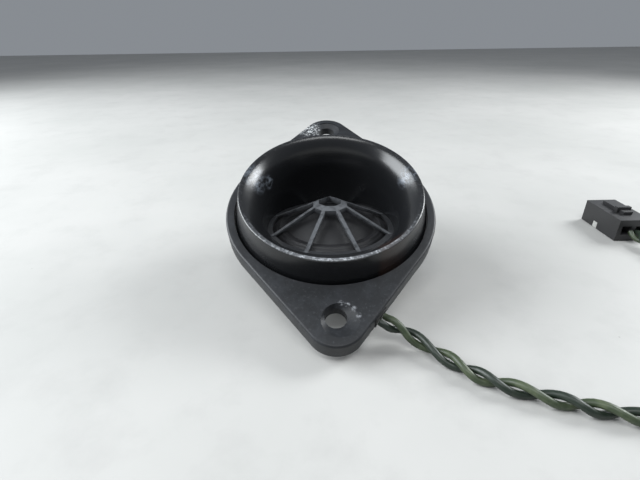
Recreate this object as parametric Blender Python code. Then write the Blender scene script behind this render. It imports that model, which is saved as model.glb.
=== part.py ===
"""Car tweeter: a dome driver on its flat back, with a horn bell and a two-eared flange inclined to it.

Lengths are millimetres, turned into metres by MM. The driver's axis is vertical. Pieces of the flange are
drawn in the flange's own inclined frame, whose zero is the centre of the flange's top face.
"""

import math

import bmesh
import bpy
from mathutils import Vector

MM = 0.001
GAP = 0.3  # clearance between separate pieces that meet
BOND = 0.05  # glue line between thin bonded pieces
SEAT = 0.1  # clearance of a clamped ring

SEGS = 40  # round pieces of the driver
WIDE_SEGS = 60  # bell, cover and guard
FINE_SEGS = 20  # screws, bosses and small holes

# Motor, from the floor up
COVER_T = 1.2
YOKE_T = 1.8
MAGNET_T = 4.5
POLE_T = 1.9
FELT_T = 0.8
RING_T = 2.05
STACK_LOW = COVER_T + GAP
MAGNET_LOW = STACK_LOW + YOKE_T + BOND
POLE_LOW = MAGNET_LOW + MAGNET_T + BOND
POLE_TOP = POLE_LOW + POLE_T
RING_LOW = POLE_TOP + GAP

# Diaphragm
SKIN = 0.25
DOME_H = 3.3
ROLL_H = 0.4
ROLL_DROP = 1.1  # from the dome's edge down to the surround's outer edge
FLAT_Z = RING_LOW + RING_T + BOND  # underside of the surround's outer edge
DOME_Z = FLAT_Z + ROLL_DROP  # underside of the dome's edge
GASKET_T = 0.25
GUARD_RING_T = 0.7
GUARD_LOW = FLAT_Z + SKIN + GASKET_T + 2 * BOND
GUARD_TOP = GUARD_LOW + GUARD_RING_T
SHELF_Z = GUARD_TOP + SEAT
THROAT_EDGE = 0.35
THROAT_Z = SHELF_Z + THROAT_EDGE
COLLAR_H = 4.6
COVER_TOP = SHELF_Z - COLLAR_H - GAP

# Driver, from the axis out
POLE_R = 11.2
AIR = 0.35  # magnetic gap beside the former and beside the winding
FORMER_T = 0.2
COIL_T = 0.4
COIL_H = 2.8
FORMER_R = POLE_R + AIR + FORMER_T
COIL_R = FORMER_R + BOND + COIL_T
YOKE_WALL = 2.0
YOKE_R = COIL_R + AIR + YOKE_WALL
MAGNET_IN = 0.4  # how far the magnet stays inside the pole plate's edge
FELT_R = 10.0
DOME_RIM = 0.15  # flat rim of the dome outside the former
DOME_R = FORMER_R + DOME_RIM
ROLL_IN = DOME_R + GAP
ROLL_W = 3.15
ROLL_OUT = ROLL_IN + ROLL_W
SURROUND_R = ROLL_OUT + 1.6
RING_R = SURROUND_R + GAP
RING_IN = COIL_R + 1.5
SOCKET_R = RING_R + 0.7
COLLAR_T = 1.5
COLLAR_R = SOCKET_R + COLLAR_T
COVER_WALL = 1.3
LUG_OUT = 0.9  # lug centres outside the collar's wall
LUG_RING_R = COLLAR_R + LUG_OUT
LUG_R = 2.0

# Guard
GUARD_IN_R = ROLL_OUT + 0.15
GUARD_R = SOCKET_R - 0.2
SPOKES = 8
SPOKE_W = 0.95
SPOKE_D = 1.3
SPOKE_RISE = 0.5
SPOKE_FOOT_R = GUARD_IN_R + 0.8
TONGUE = 0.12  # spoke end above the ring
SPOKE_FOOT_H = 0.4  # depth of a spoke's end below the ring's top
NOTCH_GAP = 0.15
HUB_R = 4.8
HUB_HOLE_R = 3.2
HUB_T = 1.4
HUB_TIP = 1.1

# Bell
TILT = math.radians(21.5)  # the flange leans toward -Y by this much
FLANGE_T = 4.0
PIVOT_DROP = 6.8  # from the flange's top face down its normal to the point it leans about
PIVOT_Z = GUARD_TOP
THROAT_R = GUARD_IN_R + 1.1
THROAT_SWELL = 2.1  # the throat's edge bulges toward -Y
BELL_T = 1.4
BELL_STEPS = 6
SKIRT_DEPTH = FLANGE_T - 0.4
SKIRT_LEAN = math.sin(TILT) * (PIVOT_DROP - SKIRT_DEPTH)
LUG_TUCK = 0.18  # the lugs may reach this far under the front of the skirt, as none stands there
SKIRT_IN_R = (LUG_RING_R + LUG_R - LUG_TUCK - SKIRT_LEAN) / math.cos(TILT)
WALL_BASE_R = SKIRT_IN_R + BELL_T
RIM_R = WALL_BASE_R - 1.56
RIM_H = 6.2
LIP = 0.4
WALL_TOP_R = RIM_R + 0.45
SHELF_R = SOCKET_R - 0.6
COLLAR_TOP = THROAT_Z - 0.05

# Flange
BELL_GAP = 0.6  # shadow gap between bell and flange
NECK_DEPTH = 1.9  # from here down the gap narrows to GAP
OPENING_R = WALL_BASE_R + BELL_GAP
FLANGE_BAND = 2.1
FLANGE_R = OPENING_R + FLANGE_BAND
EAR_R = 6.45
FRONT_EAR_OUT = 6.0
REAR_EAR_OUT = 7.0
FRONT_EAR_Y = FLANGE_R + FRONT_EAR_OUT
REAR_EAR_Y = FLANGE_R + REAR_EAR_OUT
PLATE_T = 2.1
SKIRT_T = 1.6
EDGE_R = 0.55
SCREW_HOLE_R = 2.35
FRONT_HOLE_IN = 0.6  # hole nearer the bell than the front ear's centre
REAR_HOLE_OUT = 0.6
SINK_R = SCREW_HOLE_R + 1.6
SINK_STEP = 0.2
SINK_D = 1.0
FRONT_SINK_SHIFT = (0.8, -0.95)  # worn countersink, off the hole's centre
HOLE_BOSS_WALL = 1.7
HOLE_BOSS_D = PLATE_T + 1.0
TAB_W = 6.4
FLANGE_SCREW_Y = WALL_BASE_R + 3.1
TAB_END = 1.4  # how far a tab runs past its screw
FRONT_HOLE_Y = FRONT_EAR_Y - FRONT_HOLE_IN
REAR_HOLE_Y = REAR_EAR_Y + REAR_HOLE_OUT

# Driver's axis, set so that the object's box is centred on the origin
AXIS_Y = (
    math.sin(TILT) * (PIVOT_DROP - (FLANGE_T + EDGE_R) / 2)
    - math.cos(TILT) * (REAR_EAR_Y - FRONT_EAR_Y) / 2
)

# Rear fasteners
LUG_H = 3.0
LUG_LOW = COVER_TOP - LUG_H
LUG_ANGLES = (50.0, 170.0, 290.0)
BOSS_TOP = SHELF_Z - 0.2
PILOT_TOP = BOSS_TOP - 1.2
PILOT_R = 0.85
CLEAR_R = 1.0
SHANK_R = 0.75
HEAD_R = 1.7
HEAD_H = 1.1
HEAD_CLEAR = 0.25
CROSS_L = 1.9
CROSS_W = 0.34
CROSS_D = 0.5

# Terminals, on the side that the lead comes in from
BOARD_ANGLE = math.radians(-40.0)
BOARD_T = 0.8
BOARD_R = COLLAR_R + GAP + BOARD_T / 2
BOARD_W = 8.0
BOARD_LOW = 2.9
BOARD_HIGH = 8.3
TAG_SPAN = 2.2
TAG_W = 1.9
TAG_T = 0.4
TAG_LOW = 3.6
TAG_HIGH = 7.6
LEG_W = 1.2
LEG_LOW = 5.4
LEG_HIGH = 6.0
LEG_CLEAR = 0.15
WINDOW_W = 6.8
WINDOW_LOW = 4.2
WINDOW_HIGH = 7.4

# Series capacitor, in a cradle on the cover's +X side
CAP_R = 2.3
CAP_X = COLLAR_R + CAP_R + 0.6
CAP_Y0 = -2.6
CAP_Y1 = 7.4
CAP_Z = CAP_R + 2.7
CAP_BED = 0.12
CRADLE_LOW = 1.55
CRADLE_HIGH = CAP_Z - 1.4
WIRE_R = 0.3
COIL_WIRE_R = 0.18
COIL_WIRE_ANGLE = math.radians(28.0)
WIRE_DUCT_R = (YOKE_R + COLLAR_R - COVER_WALL) / 2  # coil leads run down between yoke and cover

# Lead
LEAD_R = 1.6
LEAD_LOW = 1.68  # centre line where the lead lies on the floor
EXIT_ALONG = -18.6  # place of the lead's exit along the flange's straight edge
EXIT_Z = 0.95 - FLANGE_T
EXIT_PROUD = 0.15
GROMMET_DEEP = 2.0
GROMMET_CLEAR = 0.15
CORE_R = 0.7
CORE_APART = CORE_R + 0.2
GROMMET_HALF = CORE_APART + CORE_R + 0.35
GROMMET_TOP = EXIT_Z + GROMMET_HALF
CORE_CLEAR = 0.06
CORE_ASIDE = (1.35, -0.5)  # each core's place beside the run, one on either side
# Run of the two cores under the flange: angle, distance outside the flange's opening, and height
CORE_RUN = (
    (math.radians(-58.6), -0.5, -2.5 - FLANGE_T),
    (math.radians(-69.3), 1.9, -1.5 - FLANGE_T),
    (math.radians(-75.6), 3.6, -0.2 - FLANGE_T),
)
# From the exit: across, along, and the share of the exit's height that is left
LEAD_RUN = (
    (0.0, 0.0, 1.0),
    (0.95, -0.65, 0.94),
    (2.5, -1.15, 0.77),
    (4.3, -1.55, 0.52),
    (6.3, -2.45, 0.27),
    (8.7, -4.35, 0.08),
    (11.4, -7.05, 0.0),
    (14.3, -10.15, 0.0),
    (17.6, -13.05, 0.0),
    (21.9, -15.45, 0.0),
    (27.9, -18.05, 0.0),
    (34.9, -20.55, 0.0),
    (42.9, -22.75, 0.0),
    (51.9, -23.95, 0.0),
    (61.4, -23.05, 0.0),
    (69.9, -19.35, 0.0),
    (76.9, -13.15, 0.0),
    (81.7, -4.65, 0.0),
    (84.2, 5.35, 0.0),
    (84.9, 16.85, 0.0),
    (84.9, 26.85, 0.015),
    (84.9, 35.85, 0.18),
    (84.9, 42.85, 0.43),
)
LEAD_STEPS = 2

# Connector
PLUG_L = 17.0
PLUG_W = 9.6
PLUG_H = 7.0
PLUG_LOW = 0.1
PITCH = 4.2
CAVITY = 2.8
CONTACT = 2.3
CONTACT_WALL = 0.35
RIB_W = 2.8
RIB_H = 1.0
CATCH_W = 4.4
CATCH_H = 1.8
CATCH_T = 1.4
LOCK_AT = 9.0
LOCK_T = 2.2

# Finishes: colour, metallic, roughness
SATIN_BLACK = ((0.022, 0.024, 0.027), 0.0, 0.3)
CHARCOAL = ((0.045, 0.05, 0.056), 0.0, 0.55)
DARK_PLASTIC = ((0.03, 0.03, 0.032), 0.0, 0.5)
CLOTH = ((0.06, 0.06, 0.062), 0.0, 0.55)
FOAM = ((0.03, 0.03, 0.03), 0.0, 0.9)
FELT = ((0.12, 0.12, 0.13), 0.0, 1.0)
KAPTON = ((0.55, 0.33, 0.12), 0.2, 0.4)
COPPER = ((0.62, 0.27, 0.1), 0.9, 0.35)
STEEL = ((0.5, 0.5, 0.48), 1.0, 0.35)
NICKEL = ((0.6, 0.6, 0.58), 1.0, 0.25)
SCREW_STEEL = ((0.35, 0.35, 0.36), 1.0, 0.35)
TIN = ((0.7, 0.7, 0.68), 1.0, 0.3)
BOARD_BROWN = ((0.35, 0.2, 0.08), 0.0, 0.6)
CAP_BLUE = ((0.05, 0.09, 0.2), 0.0, 0.35)
RUBBER = ((0.02, 0.02, 0.02), 0.0, 0.7)
WIRE_BLACK = ((0.03, 0.03, 0.028), 0.0, 0.45)
WIRE_GREEN = ((0.08, 0.1, 0.05), 0.0, 0.45)
LOCK_GREY = ((0.5, 0.5, 0.48), 0.0, 0.5)


def clear_scene():
    for obj in list(bpy.data.objects):
        bpy.data.objects.remove(obj, do_unlink=True)


def material(name, color, metallic, roughness):
    made = bpy.data.materials.new(name)
    made.use_nodes = True
    shader = made.node_tree.nodes["Principled BSDF"]
    shader.inputs["Base Color"].default_value = (*color, 1.0)
    shader.inputs["Metallic"].default_value = metallic
    shader.inputs["Roughness"].default_value = roughness
    made.diffuse_color = (*color, 1.0)
    return made


def empty(name, location, tilt=0.0, parent=None):
    obj = bpy.data.objects.new(name, None)
    bpy.context.scene.collection.objects.link(obj)
    obj.location = Vector(location) * MM
    obj.rotation_euler = (tilt, 0.0, 0.0)
    obj.parent = parent
    return obj


def node(name, verts, faces, parent, finish=None):
    """Mesh object with its own material; one with no finish is a tool for a Boolean."""
    mesh = bpy.data.meshes.new(name)
    mesh.from_pydata([Vector(v) * MM for v in verts], [], faces)
    shell = bmesh.new()
    shell.from_mesh(mesh)
    bmesh.ops.recalc_face_normals(shell, faces=shell.faces)
    shell.to_mesh(mesh)
    shell.free()
    obj = bpy.data.objects.new(name, mesh)
    bpy.context.scene.collection.objects.link(obj)
    obj.parent = parent
    if finish:
        mesh.materials.append(material(name, *finish))
    return obj


def lathe_mesh(profile, segs):
    """Closed (r, z) loop turned about Z."""
    verts = []
    rings = []
    for r, z in profile:
        if r < 1e-6:
            rings.append([len(verts)])
            verts.append((0.0, 0.0, z))
            continue
        start = len(verts)
        rings.append(list(range(start, start + segs)))
        for i in range(segs):
            a = 2 * math.pi * i / segs
            verts.append((r * math.cos(a), r * math.sin(a), z))
    faces = []
    for k, low in enumerate(rings):
        high = rings[(k + 1) % len(rings)]
        if len(low) == 1 and len(high) == 1:
            continue
        for i in range(segs):
            j = (i + 1) % segs
            if len(low) == 1:
                faces.append((low[0], high[j], high[i]))
            elif len(high) == 1:
                faces.append((low[i], low[j], high[0]))
            else:
                faces.append((low[i], low[j], high[j], high[i]))
    return verts, faces


def lathe(name, profile, parent, finish=None, segs=SEGS, at=(0.0, 0.0)):
    verts, faces = lathe_mesh(profile, segs)
    verts = [(x + at[0], y + at[1], z) for x, y, z in verts]
    return node(name, verts, faces, parent, finish)


def disc(name, radius, low, high, parent, finish=None, segs=SEGS, at=(0.0, 0.0)):
    return lathe(name, [(0, low), (radius, low), (radius, high), (0, high)], parent, finish, segs, at)


def tube_ring(name, inner, outer, low, high, parent, finish=None, segs=SEGS):
    return lathe(name, [(inner, low), (outer, low), (outer, high), (inner, high)], parent, finish, segs)


def stack(name, rings, parent, finish=None):
    """Solid from a stack of outlines, each a list of points, capped at both ends."""
    count = len(rings[0])
    verts = [p for ring in rings for p in ring]
    faces = [tuple(range(count)), tuple((len(rings) - 1) * count + i for i in range(count))]
    for k in range(len(rings) - 1):
        for i in range(count):
            j = (i + 1) % count
            faces.append((k * count + i, k * count + j, (k + 1) * count + j, (k + 1) * count + i))
    return node(name, verts, faces, parent, finish)


def prism(name, outline, low, high, parent, finish=None):
    rings = [[(x, y, z) for x, y in outline] for z in (low, high)]
    return stack(name, rings, parent, finish)


def box(name, low, high, parent, finish=None, turn=0.0):
    c, s = math.cos(turn), math.sin(turn)
    corners = ((low[0], low[1]), (high[0], low[1]), (high[0], high[1]), (low[0], high[1]))
    outline = [(c * x - s * y, s * x + c * y) for x, y in corners]
    return prism(name, outline, low[2], high[2], parent, finish)


def rod(name, radius, start, end, parent, finish=None, segs=FINE_SEGS):
    """Cylinder between two points."""
    a, b = Vector(start), Vector(end)
    turn = (b - a).to_track_quat("Z", "Y").to_matrix()
    length = (b - a).length
    verts, faces = lathe_mesh([(0, 0), (radius, 0), (radius, length), (0, length)], segs)
    return node(name, [tuple(a + turn @ Vector(v)) for v in verts], faces, parent, finish)


def bar(name, radius, points, parent, finish=None, segs=8):
    """Round bar swept along a line of points."""
    path = [Vector(p) for p in points]
    rings = []
    side = (path[1] - path[0]).orthogonal().normalized()
    for i, p in enumerate(path):
        along = (path[min(i + 1, len(path) - 1)] - path[max(i - 1, 0)]).normalized()
        side = (side - along * side.dot(along)).normalized()
        other = along.cross(side)
        turns = [2 * math.pi * k / segs for k in range(segs)]
        rings.append([tuple(p + radius * (math.cos(a) * side + math.sin(a) * other)) for a in turns])
    return stack(name, rings, parent, finish)


def combine(obj, others, operation):
    """Applies exact Booleans one after another, and removes the tools."""
    for other in others:
        step = obj.modifiers.new("cut", "BOOLEAN")
        step.operation = operation
        step.solver = "EXACT"
        step.object = other
    bpy.context.view_layer.update()
    graph = bpy.context.evaluated_depsgraph_get()
    result = bpy.data.meshes.new_from_object(obj.evaluated_get(graph))
    obj.modifiers.clear()
    obj.data = result
    for other in others:
        bpy.data.objects.remove(other, do_unlink=True)
    merge_close(obj)
    return obj


def merge_close(obj):
    shell = bmesh.new()
    shell.from_mesh(obj.data)
    bmesh.ops.remove_doubles(shell, verts=shell.verts, dist=2e-6)
    bmesh.ops.dissolve_degenerate(shell, edges=shell.edges, dist=1e-6)
    shell.to_mesh(obj.data)
    shell.free()


def shade_round(obj, angle=math.radians(32.0)):
    shell = bmesh.new()
    shell.from_mesh(obj.data)
    for face in shell.faces:
        face.smooth = True
    for edge in shell.edges:
        if len(edge.link_faces) == 2:
            edge.smooth = edge.calc_face_angle(0.0) < angle
    shell.to_mesh(obj.data)
    shell.free()


def around(radius, degrees):
    a = math.radians(degrees)
    return (radius * math.cos(a), radius * math.sin(a))


def from_flange(x, y, z):
    """Flange frame to driver frame."""
    c, s = math.cos(TILT), math.sin(TILT)
    return Vector((x, c * y - s * (z + PIVOT_DROP), PIVOT_Z + s * y + c * (z + PIVOT_DROP)))


def bezier(p0, p1, p2, p3, t):
    u = 1 - t
    return p0 * u**3 + p1 * 3 * u * u * t + p2 * 3 * u * t * t + p3 * t**3


def smooth_path(points, steps):
    """Catmull-Rom curve through the points."""
    path = [Vector(p) for p in points]
    ends = [path[0] * 2 - path[1], *path, path[-1] * 2 - path[-2]]
    out = []
    for a, b, c, d in zip(ends, ends[1:], ends[2:], ends[3:]):
        for k in range(steps):
            t = k / steps
            bend = (2 * a - 5 * b + 4 * c - d) * t + (3 * b - a - 3 * c + d) * t * t
            out.append(b + 0.5 * t * ((c - a) + bend))
    out.append(path[-1])
    return [tuple(p) for p in out]


def ear_lean(ear_y):
    """How far the tangent from the flange's circle to an ear turns from the lengthwise direction."""
    return math.asin((FLANGE_R - EAR_R) / ear_y)


def eared_outline(inset=0.0, arc=11):
    """Circle merging by tangents into two ears, drawn inward by inset."""
    front, rear = ear_lean(FRONT_EAR_Y), ear_lean(REAR_EAR_Y)
    big, small = FLANGE_R - inset, EAR_R - inset
    spans = (
        (-front, rear, big, 0.0),
        (rear, math.pi - rear, small, REAR_EAR_Y),
        (math.pi - rear, math.pi + front, big, 0.0),
        (math.pi + front, 2 * math.pi - front, small, -FRONT_EAR_Y),
    )
    points = []
    for start, stop, radius, y in spans:
        for i in range(arc):
            a = start + (stop - start) * i / (arc - 1)
            points.append((radius * math.cos(a), y + radius * math.sin(a)))
    return points


def screw_hole_tool(frame, hole_y, shift):
    """Bore with a countersink whose mouth can be off the bore's centre."""
    levels = (
        (-9.0, SCREW_HOLE_R, (0.0, 0.0)),
        (-SINK_D, SCREW_HOLE_R, (0.0, 0.0)),
        (-SINK_STEP, SINK_R, shift),
        (3.0, SINK_R, shift),
    )
    segs = 32
    rings = []
    for z, radius, (dx, dy) in levels:
        turns = [2 * math.pi * i / segs for i in range(segs)]
        rings.append([(dx + radius * math.cos(a), hole_y + dy + radius * math.sin(a), z) for a in turns])
    return stack("c_hole", rings, frame)


def make_flange(frame):
    arc = [math.pi / 2 * i / 3 for i in range(4)]
    rings = [[(x, y, -FLANGE_T) for x, y in eared_outline()]]
    for a in arc:
        inset, z = EDGE_R * (1 - math.cos(a)), -EDGE_R * (1 - math.sin(a))
        rings.append([(x, y, z) for x, y in eared_outline(inset)])
    flange = stack("mounting_flange", rings, frame, CHARCOAL)
    neck = OPENING_R - BELL_GAP + GAP
    opening = [(0, -9), (neck, -9), (neck, -NECK_DEPTH), (OPENING_R, GAP - NECK_DEPTH), (OPENING_R, 9), (0, 9)]
    cutters = [lathe("c_open", opening, frame, None, WIDE_SEGS)]
    ears = ((-1, -FRONT_HOLE_Y, FRONT_SINK_SHIFT), (1, REAR_HOLE_Y, (0.0, 0.0)))
    for side, hole_y, shift in ears:
        # hollow behind the ear, less the wall round the opening and the boss of the screw hole
        hollow = prism("c_hollow", eared_outline(SKIRT_T), -FLANGE_T - 1, -PLATE_T, frame)
        half_low, half_high = sorted((-side * 2 * REAR_EAR_Y, side * 3.0))
        boss_r = SCREW_HOLE_R + HOLE_BOSS_WALL
        keep = [
            disc("k_ring", OPENING_R + SKIRT_T, -9, 9, frame, None, WIDE_SEGS),
            box("k_half", (-2 * FLANGE_R, half_low, -9), (2 * FLANGE_R, half_high, 9), frame),
            disc("k_boss", boss_r, -HOLE_BOSS_D, 9, frame, None, 28, (0, hole_y)),
        ]
        cutters.append(combine(hollow, keep, "DIFFERENCE"))
        notch = sorted((side * (OPENING_R - 1.5), side * (FLANGE_SCREW_Y + TAB_END + 0.35)))
        half = TAB_W / 2 + 0.4
        cutters.append(box("c_notch", (-half, notch[0], -9), (half, notch[1], -PLATE_T), frame))
        cutters.append(screw_hole_tool(frame, hole_y, shift))
        cutters.append(disc("c_pilot", PILOT_R, -9, -0.8, frame, None, 16, (0, side * FLANGE_SCREW_Y)))
    cutters.append(grommet_block("c_grommet", frame, GROMMET_CLEAR))
    return combine(flange, cutters, "DIFFERENCE")


def edge_point(out_by, along_by, z):
    """Point beside the flange's straight edge that the lead leaves through."""
    lean = ear_lean(FRONT_EAR_Y)
    out = Vector((math.cos(lean), -math.sin(lean)))
    along = Vector((math.sin(lean), math.cos(lean)))
    spot = out * (FLANGE_R + out_by) + along * (EXIT_ALONG + along_by)
    return (spot.x, spot.y, z)


def grommet_block(name, frame, grow=0.0, finish=None):
    """Rubber block in the flange's side wall where the lead leaves, or the notch for it."""
    half = GROMMET_HALF + grow
    deep = -GROMMET_DEEP - grow
    proud = EXIT_PROUD if finish else 3.0
    low = -FLANGE_T - 0.15 if finish else -FLANGE_T - 3
    spots = ((deep, -half), (deep, half), (proud, half), (proud, -half))
    corners = [edge_point(out_by, along_by, 0.0)[:2] for out_by, along_by in spots]
    return prism(name, corners, low, GROMMET_TOP + grow, frame, finish)


def lead_path():
    start = from_flange(*edge_point(EXIT_PROUD + GAP, 0.0, EXIT_Z))
    drop = start.z - LEAD_LOW
    return [(start.x + dx, start.y + dy, LEAD_LOW + drop * share) for dx, dy, share in LEAD_RUN]


def throat_radius(a):
    return THROAT_R + THROAT_SWELL * max(0.0, -math.sin(a)) ** 1.3


def bell_row(a):
    """Section of the bell at one angle: up the horn, over the lip, down the wall and back underneath."""
    ca, sa = math.cos(a), math.sin(a)
    front = max(0.0, -sa) ** 2

    def tilted(r, z):
        return from_flange(r * ca, r * sa, z)

    def ring_point(r, z):
        return Vector((r * ca, r * sa, z))

    lip = (
        (RIM_R - LIP, RIM_H - 0.03),
        (RIM_R, RIM_H),
        (WALL_TOP_R - 0.17, RIM_H - 0.12),
        (WALL_TOP_R, RIM_H - 0.5),
    )
    edge_r = throat_radius(a)
    throat = ring_point(edge_r, THROAT_Z)
    mouth = tilted(*lip[0])
    flare = (tilted(lip[0][0] + 0.87, lip[0][1] + 0.5) - mouth).normalized()
    rise, reach = mouth.z - throat.z, (mouth - throat).length
    up = ring_point(0.12, 0.99)
    # a trumpet's curve, which turns to a straight ramp where the horn is shortest
    p1 = (throat + up * min(0.36 * reach, 0.48 * rise)).lerp(throat.lerp(mouth, 1 / 3), front)
    p2 = (mouth - flare * min(5.2, 0.42 * reach)).lerp(throat.lerp(mouth, 2 / 3), front)
    inner = [bezier(throat, p1, p2, mouth, k / BELL_STEPS) for k in range(BELL_STEPS)]
    foot = ring_point(edge_r + BELL_T, SHELF_Z + 0.05)
    corner = tilted(WALL_BASE_R - BELL_T, RIM_H - 1.9)
    q1 = (foot + up * min(0.34 * reach, 0.30 * rise)).lerp(foot.lerp(corner, 1 / 3), front)
    q2 = (corner - flare * min(3.4, 0.3 * reach)).lerp(foot.lerp(corner, 2 / 3), front)
    back = [bezier(corner, q2, q1, foot, k / 4) for k in range(5)]
    wall = [
        tilted(WALL_BASE_R, 0.0),
        tilted(WALL_BASE_R, -SKIRT_DEPTH),
        tilted(WALL_BASE_R - BELL_T, -SKIRT_DEPTH),
    ]
    return inner + [tilted(r, z) for r, z in lip] + wall + back + [ring_point(edge_r, SHELF_Z + 0.05)]


def make_bell(root, frame):
    rows = [bell_row(2 * math.pi * i / WIDE_SEGS) for i in range(WIDE_SEGS)]
    size = len(rows[0])
    faces = []
    for i in range(WIDE_SEGS):
        j = (i + 1) % WIDE_SEGS
        for k in range(size):
            m = (k + 1) % size
            faces.append((i * size + k, j * size + k, j * size + m, i * size + m))
    bell = node("horn_bell", [tuple(p) for row in rows for p in row], faces, root, SATIN_BLACK)
    low = COVER_TOP + GAP
    collar = [
        (SOCKET_R, low),
        (COLLAR_R, low),
        (COLLAR_R, COLLAR_TOP),
        (SHELF_R, COLLAR_TOP),
        (SHELF_R, SHELF_Z),
        (SOCKET_R, SHELF_Z),
    ]
    joined = [lathe("u_collar", collar, root, None, WIDE_SEGS + 10)]
    drills = []
    for degrees in LUG_ANGLES:
        at = around(LUG_RING_R, degrees)
        joined.append(disc("u_boss", LUG_R, low, BOSS_TOP, root, None, FINE_SEGS, at))
        drills.append(disc("c_pilot", PILOT_R, low - 2, PILOT_TOP, root, None, 16, at))
    for side in (-1, 1):
        reach = sorted((side * (WALL_BASE_R - 0.8), side * (FLANGE_SCREW_Y + TAB_END)))
        low_corner = (-TAB_W / 2, reach[0], -SKIRT_DEPTH + BOND)
        high_corner = (TAB_W / 2, reach[1], -PLATE_T - GAP)
        joined.append(box("u_tab", low_corner, high_corner, frame))
        hole_at = (0, side * FLANGE_SCREW_Y)
        drills.append(disc("c_tab", CLEAR_R, -9, -1, frame, None, 16, hole_at))
    drills += [spoke_notch(root, a) for a in spoke_angles() if throat_radius(a) > SHELF_R]
    combine(bell, joined, "UNION")
    return combine(bell, drills, "DIFFERENCE")


def guard_top(r):
    return GUARD_TOP + SPOKE_RISE * (SPOKE_FOOT_R - r)


def spoke_angles():
    return [math.radians(-90 + (k + 0.5) * 360 / SPOKES) for k in range(SPOKES)]


def spoke_notch(root, a):
    """Slot in the shelf for the foot of a front spoke, which reaches past the guard's ring."""
    half = SPOKE_W / 2 + NOTCH_GAP
    low = (SHELF_R - 0.5, -half, GUARD_TOP - SPOKE_FOOT_H - NOTCH_GAP)
    high = (throat_radius(a) - SEAT + NOTCH_GAP, half, THROAT_Z + 0.4)
    return box("c_notch", low, high, root, None, a)


def make_spoke(root, a):
    c, s = math.cos(a), math.sin(a)
    start = HUB_R - 0.55
    foot = SPOKE_FOOT_R - TONGUE / SPOKE_RISE
    end = throat_radius(a) - SEAT
    side_view = (
        (start, guard_top(start) - 0.12),
        (start, guard_top(start) - SPOKE_D),
        (GUARD_IN_R + 0.4, GUARD_TOP - SPOKE_FOOT_H),
        (end, GUARD_TOP - SPOKE_FOOT_H),
        (end, GUARD_TOP + TONGUE),
        (foot, GUARD_TOP + TONGUE),
        (HUB_R, guard_top(HUB_R)),
    )
    rings = []
    for across in (-SPOKE_W / 2, SPOKE_W / 2):
        rings.append([(c * r - s * across, s * r + c * across, z) for r, z in side_view])
    return stack("u_spoke", rings, root)


def make_hub(root, angles):
    """Conical washer whose corners lie on the spokes, with a small tip at the back."""
    top = guard_top(HUB_R) + 0.06
    hole_top = guard_top(HUB_HOLE_R) + 0.02
    outline = [(math.cos(a), math.sin(a)) for a in angles]
    outline.insert(SPOKES // 2, (0.0, 1.0 + HUB_TIP / HUB_R))
    levels = (
        (HUB_R, top - HUB_T),
        (HUB_R, top),
        (HUB_HOLE_R, hole_top),
        (HUB_HOLE_R, hole_top - HUB_T - 0.2),
    )
    count = len(outline)
    verts = [(x * r, y * r, z) for r, z in levels for x, y in outline]
    faces = []
    for k in range(len(levels)):
        m = (k + 1) % len(levels)
        for i in range(count):
            j = (i + 1) % count
            faces.append((k * count + i, k * count + j, m * count + j, m * count + i))
    return node("u_hub", verts, faces, root)


def make_guard(root):
    ring = tube_ring(
        "spider_guard", GUARD_IN_R, GUARD_R, GUARD_LOW, GUARD_TOP, root, SATIN_BLACK, WIDE_SEGS
    )
    angles = spoke_angles()
    joined = [make_spoke(root, a) for a in angles]
    joined.append(make_hub(root, angles))
    return combine(ring, joined, "UNION")


def make_dome(moving, steps=5):
    radius = FORMER_R
    sphere = (radius**2 + DOME_H**2) / (2 * DOME_H)
    outer = []
    for i in range(steps + 1):
        r = radius * (1 - i / steps)
        outer.append((r, DOME_Z + SKIN + DOME_H - sphere + math.sqrt(sphere**2 - r * r)))
    inner = [(r, z - SKIN) for r, z in reversed(outer)]
    profile = [(DOME_R, DOME_Z + SKIN), *outer, *inner, (DOME_R, DOME_Z)]
    return lathe("dome", profile, moving, CLOTH)


def make_surround(root, steps=6):
    """Roll that falls from the dome's edge to the mounting ring."""
    lower = [(DOME_R + BOND, DOME_Z)]
    for i in range(steps + 1):
        t = i / steps
        z = DOME_Z - ROLL_DROP * t * t + ROLL_H * math.sin(math.pi * t)
        lower.append((ROLL_IN + ROLL_W * t, z))
    lower.append((SURROUND_R, FLAT_Z))
    upper = [(r, z + SKIN) for r, z in reversed(lower)]
    return lathe("surround", lower + upper, root, CLOTH)


def make_motor(root, moving):
    yoke = [
        (0, STACK_LOW),
        (YOKE_R - 0.4, STACK_LOW),
        (YOKE_R, STACK_LOW + 0.4),
        (YOKE_R, POLE_TOP),
        (YOKE_R - YOKE_WALL, POLE_TOP),
        (YOKE_R - YOKE_WALL, STACK_LOW + YOKE_T),
        (0, STACK_LOW + YOKE_T),
    ]
    lathe("yoke_cup", yoke, root, STEEL)
    magnet_r, magnet_top = POLE_R - MAGNET_IN, MAGNET_LOW + MAGNET_T
    magnet = [
        (0, MAGNET_LOW),
        (magnet_r - 0.3, MAGNET_LOW),
        (magnet_r, MAGNET_LOW + 0.3),
        (magnet_r, magnet_top - 0.3),
        (magnet_r - 0.3, magnet_top),
        (0, magnet_top),
    ]
    lathe("magnet_disc", magnet, root, NICKEL)
    disc("pole_plate", POLE_R, POLE_LOW, POLE_TOP, root, STEEL)
    disc("damping_felt", FELT_R, POLE_TOP + BOND, POLE_TOP + BOND + FELT_T, root, FELT)
    coil_low = POLE_TOP - POLE_T / 2 - COIL_H / 2
    former_in = FORMER_R - FORMER_T
    tube_ring("voice_coil_former", former_in, FORMER_R, coil_low - 0.5, DOME_Z - BOND, moving, KAPTON)
    coil_high = coil_low + COIL_H
    tube_ring("voice_coil_winding", FORMER_R + BOND, COIL_R, coil_low, coil_high, moving, COPPER)


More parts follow.
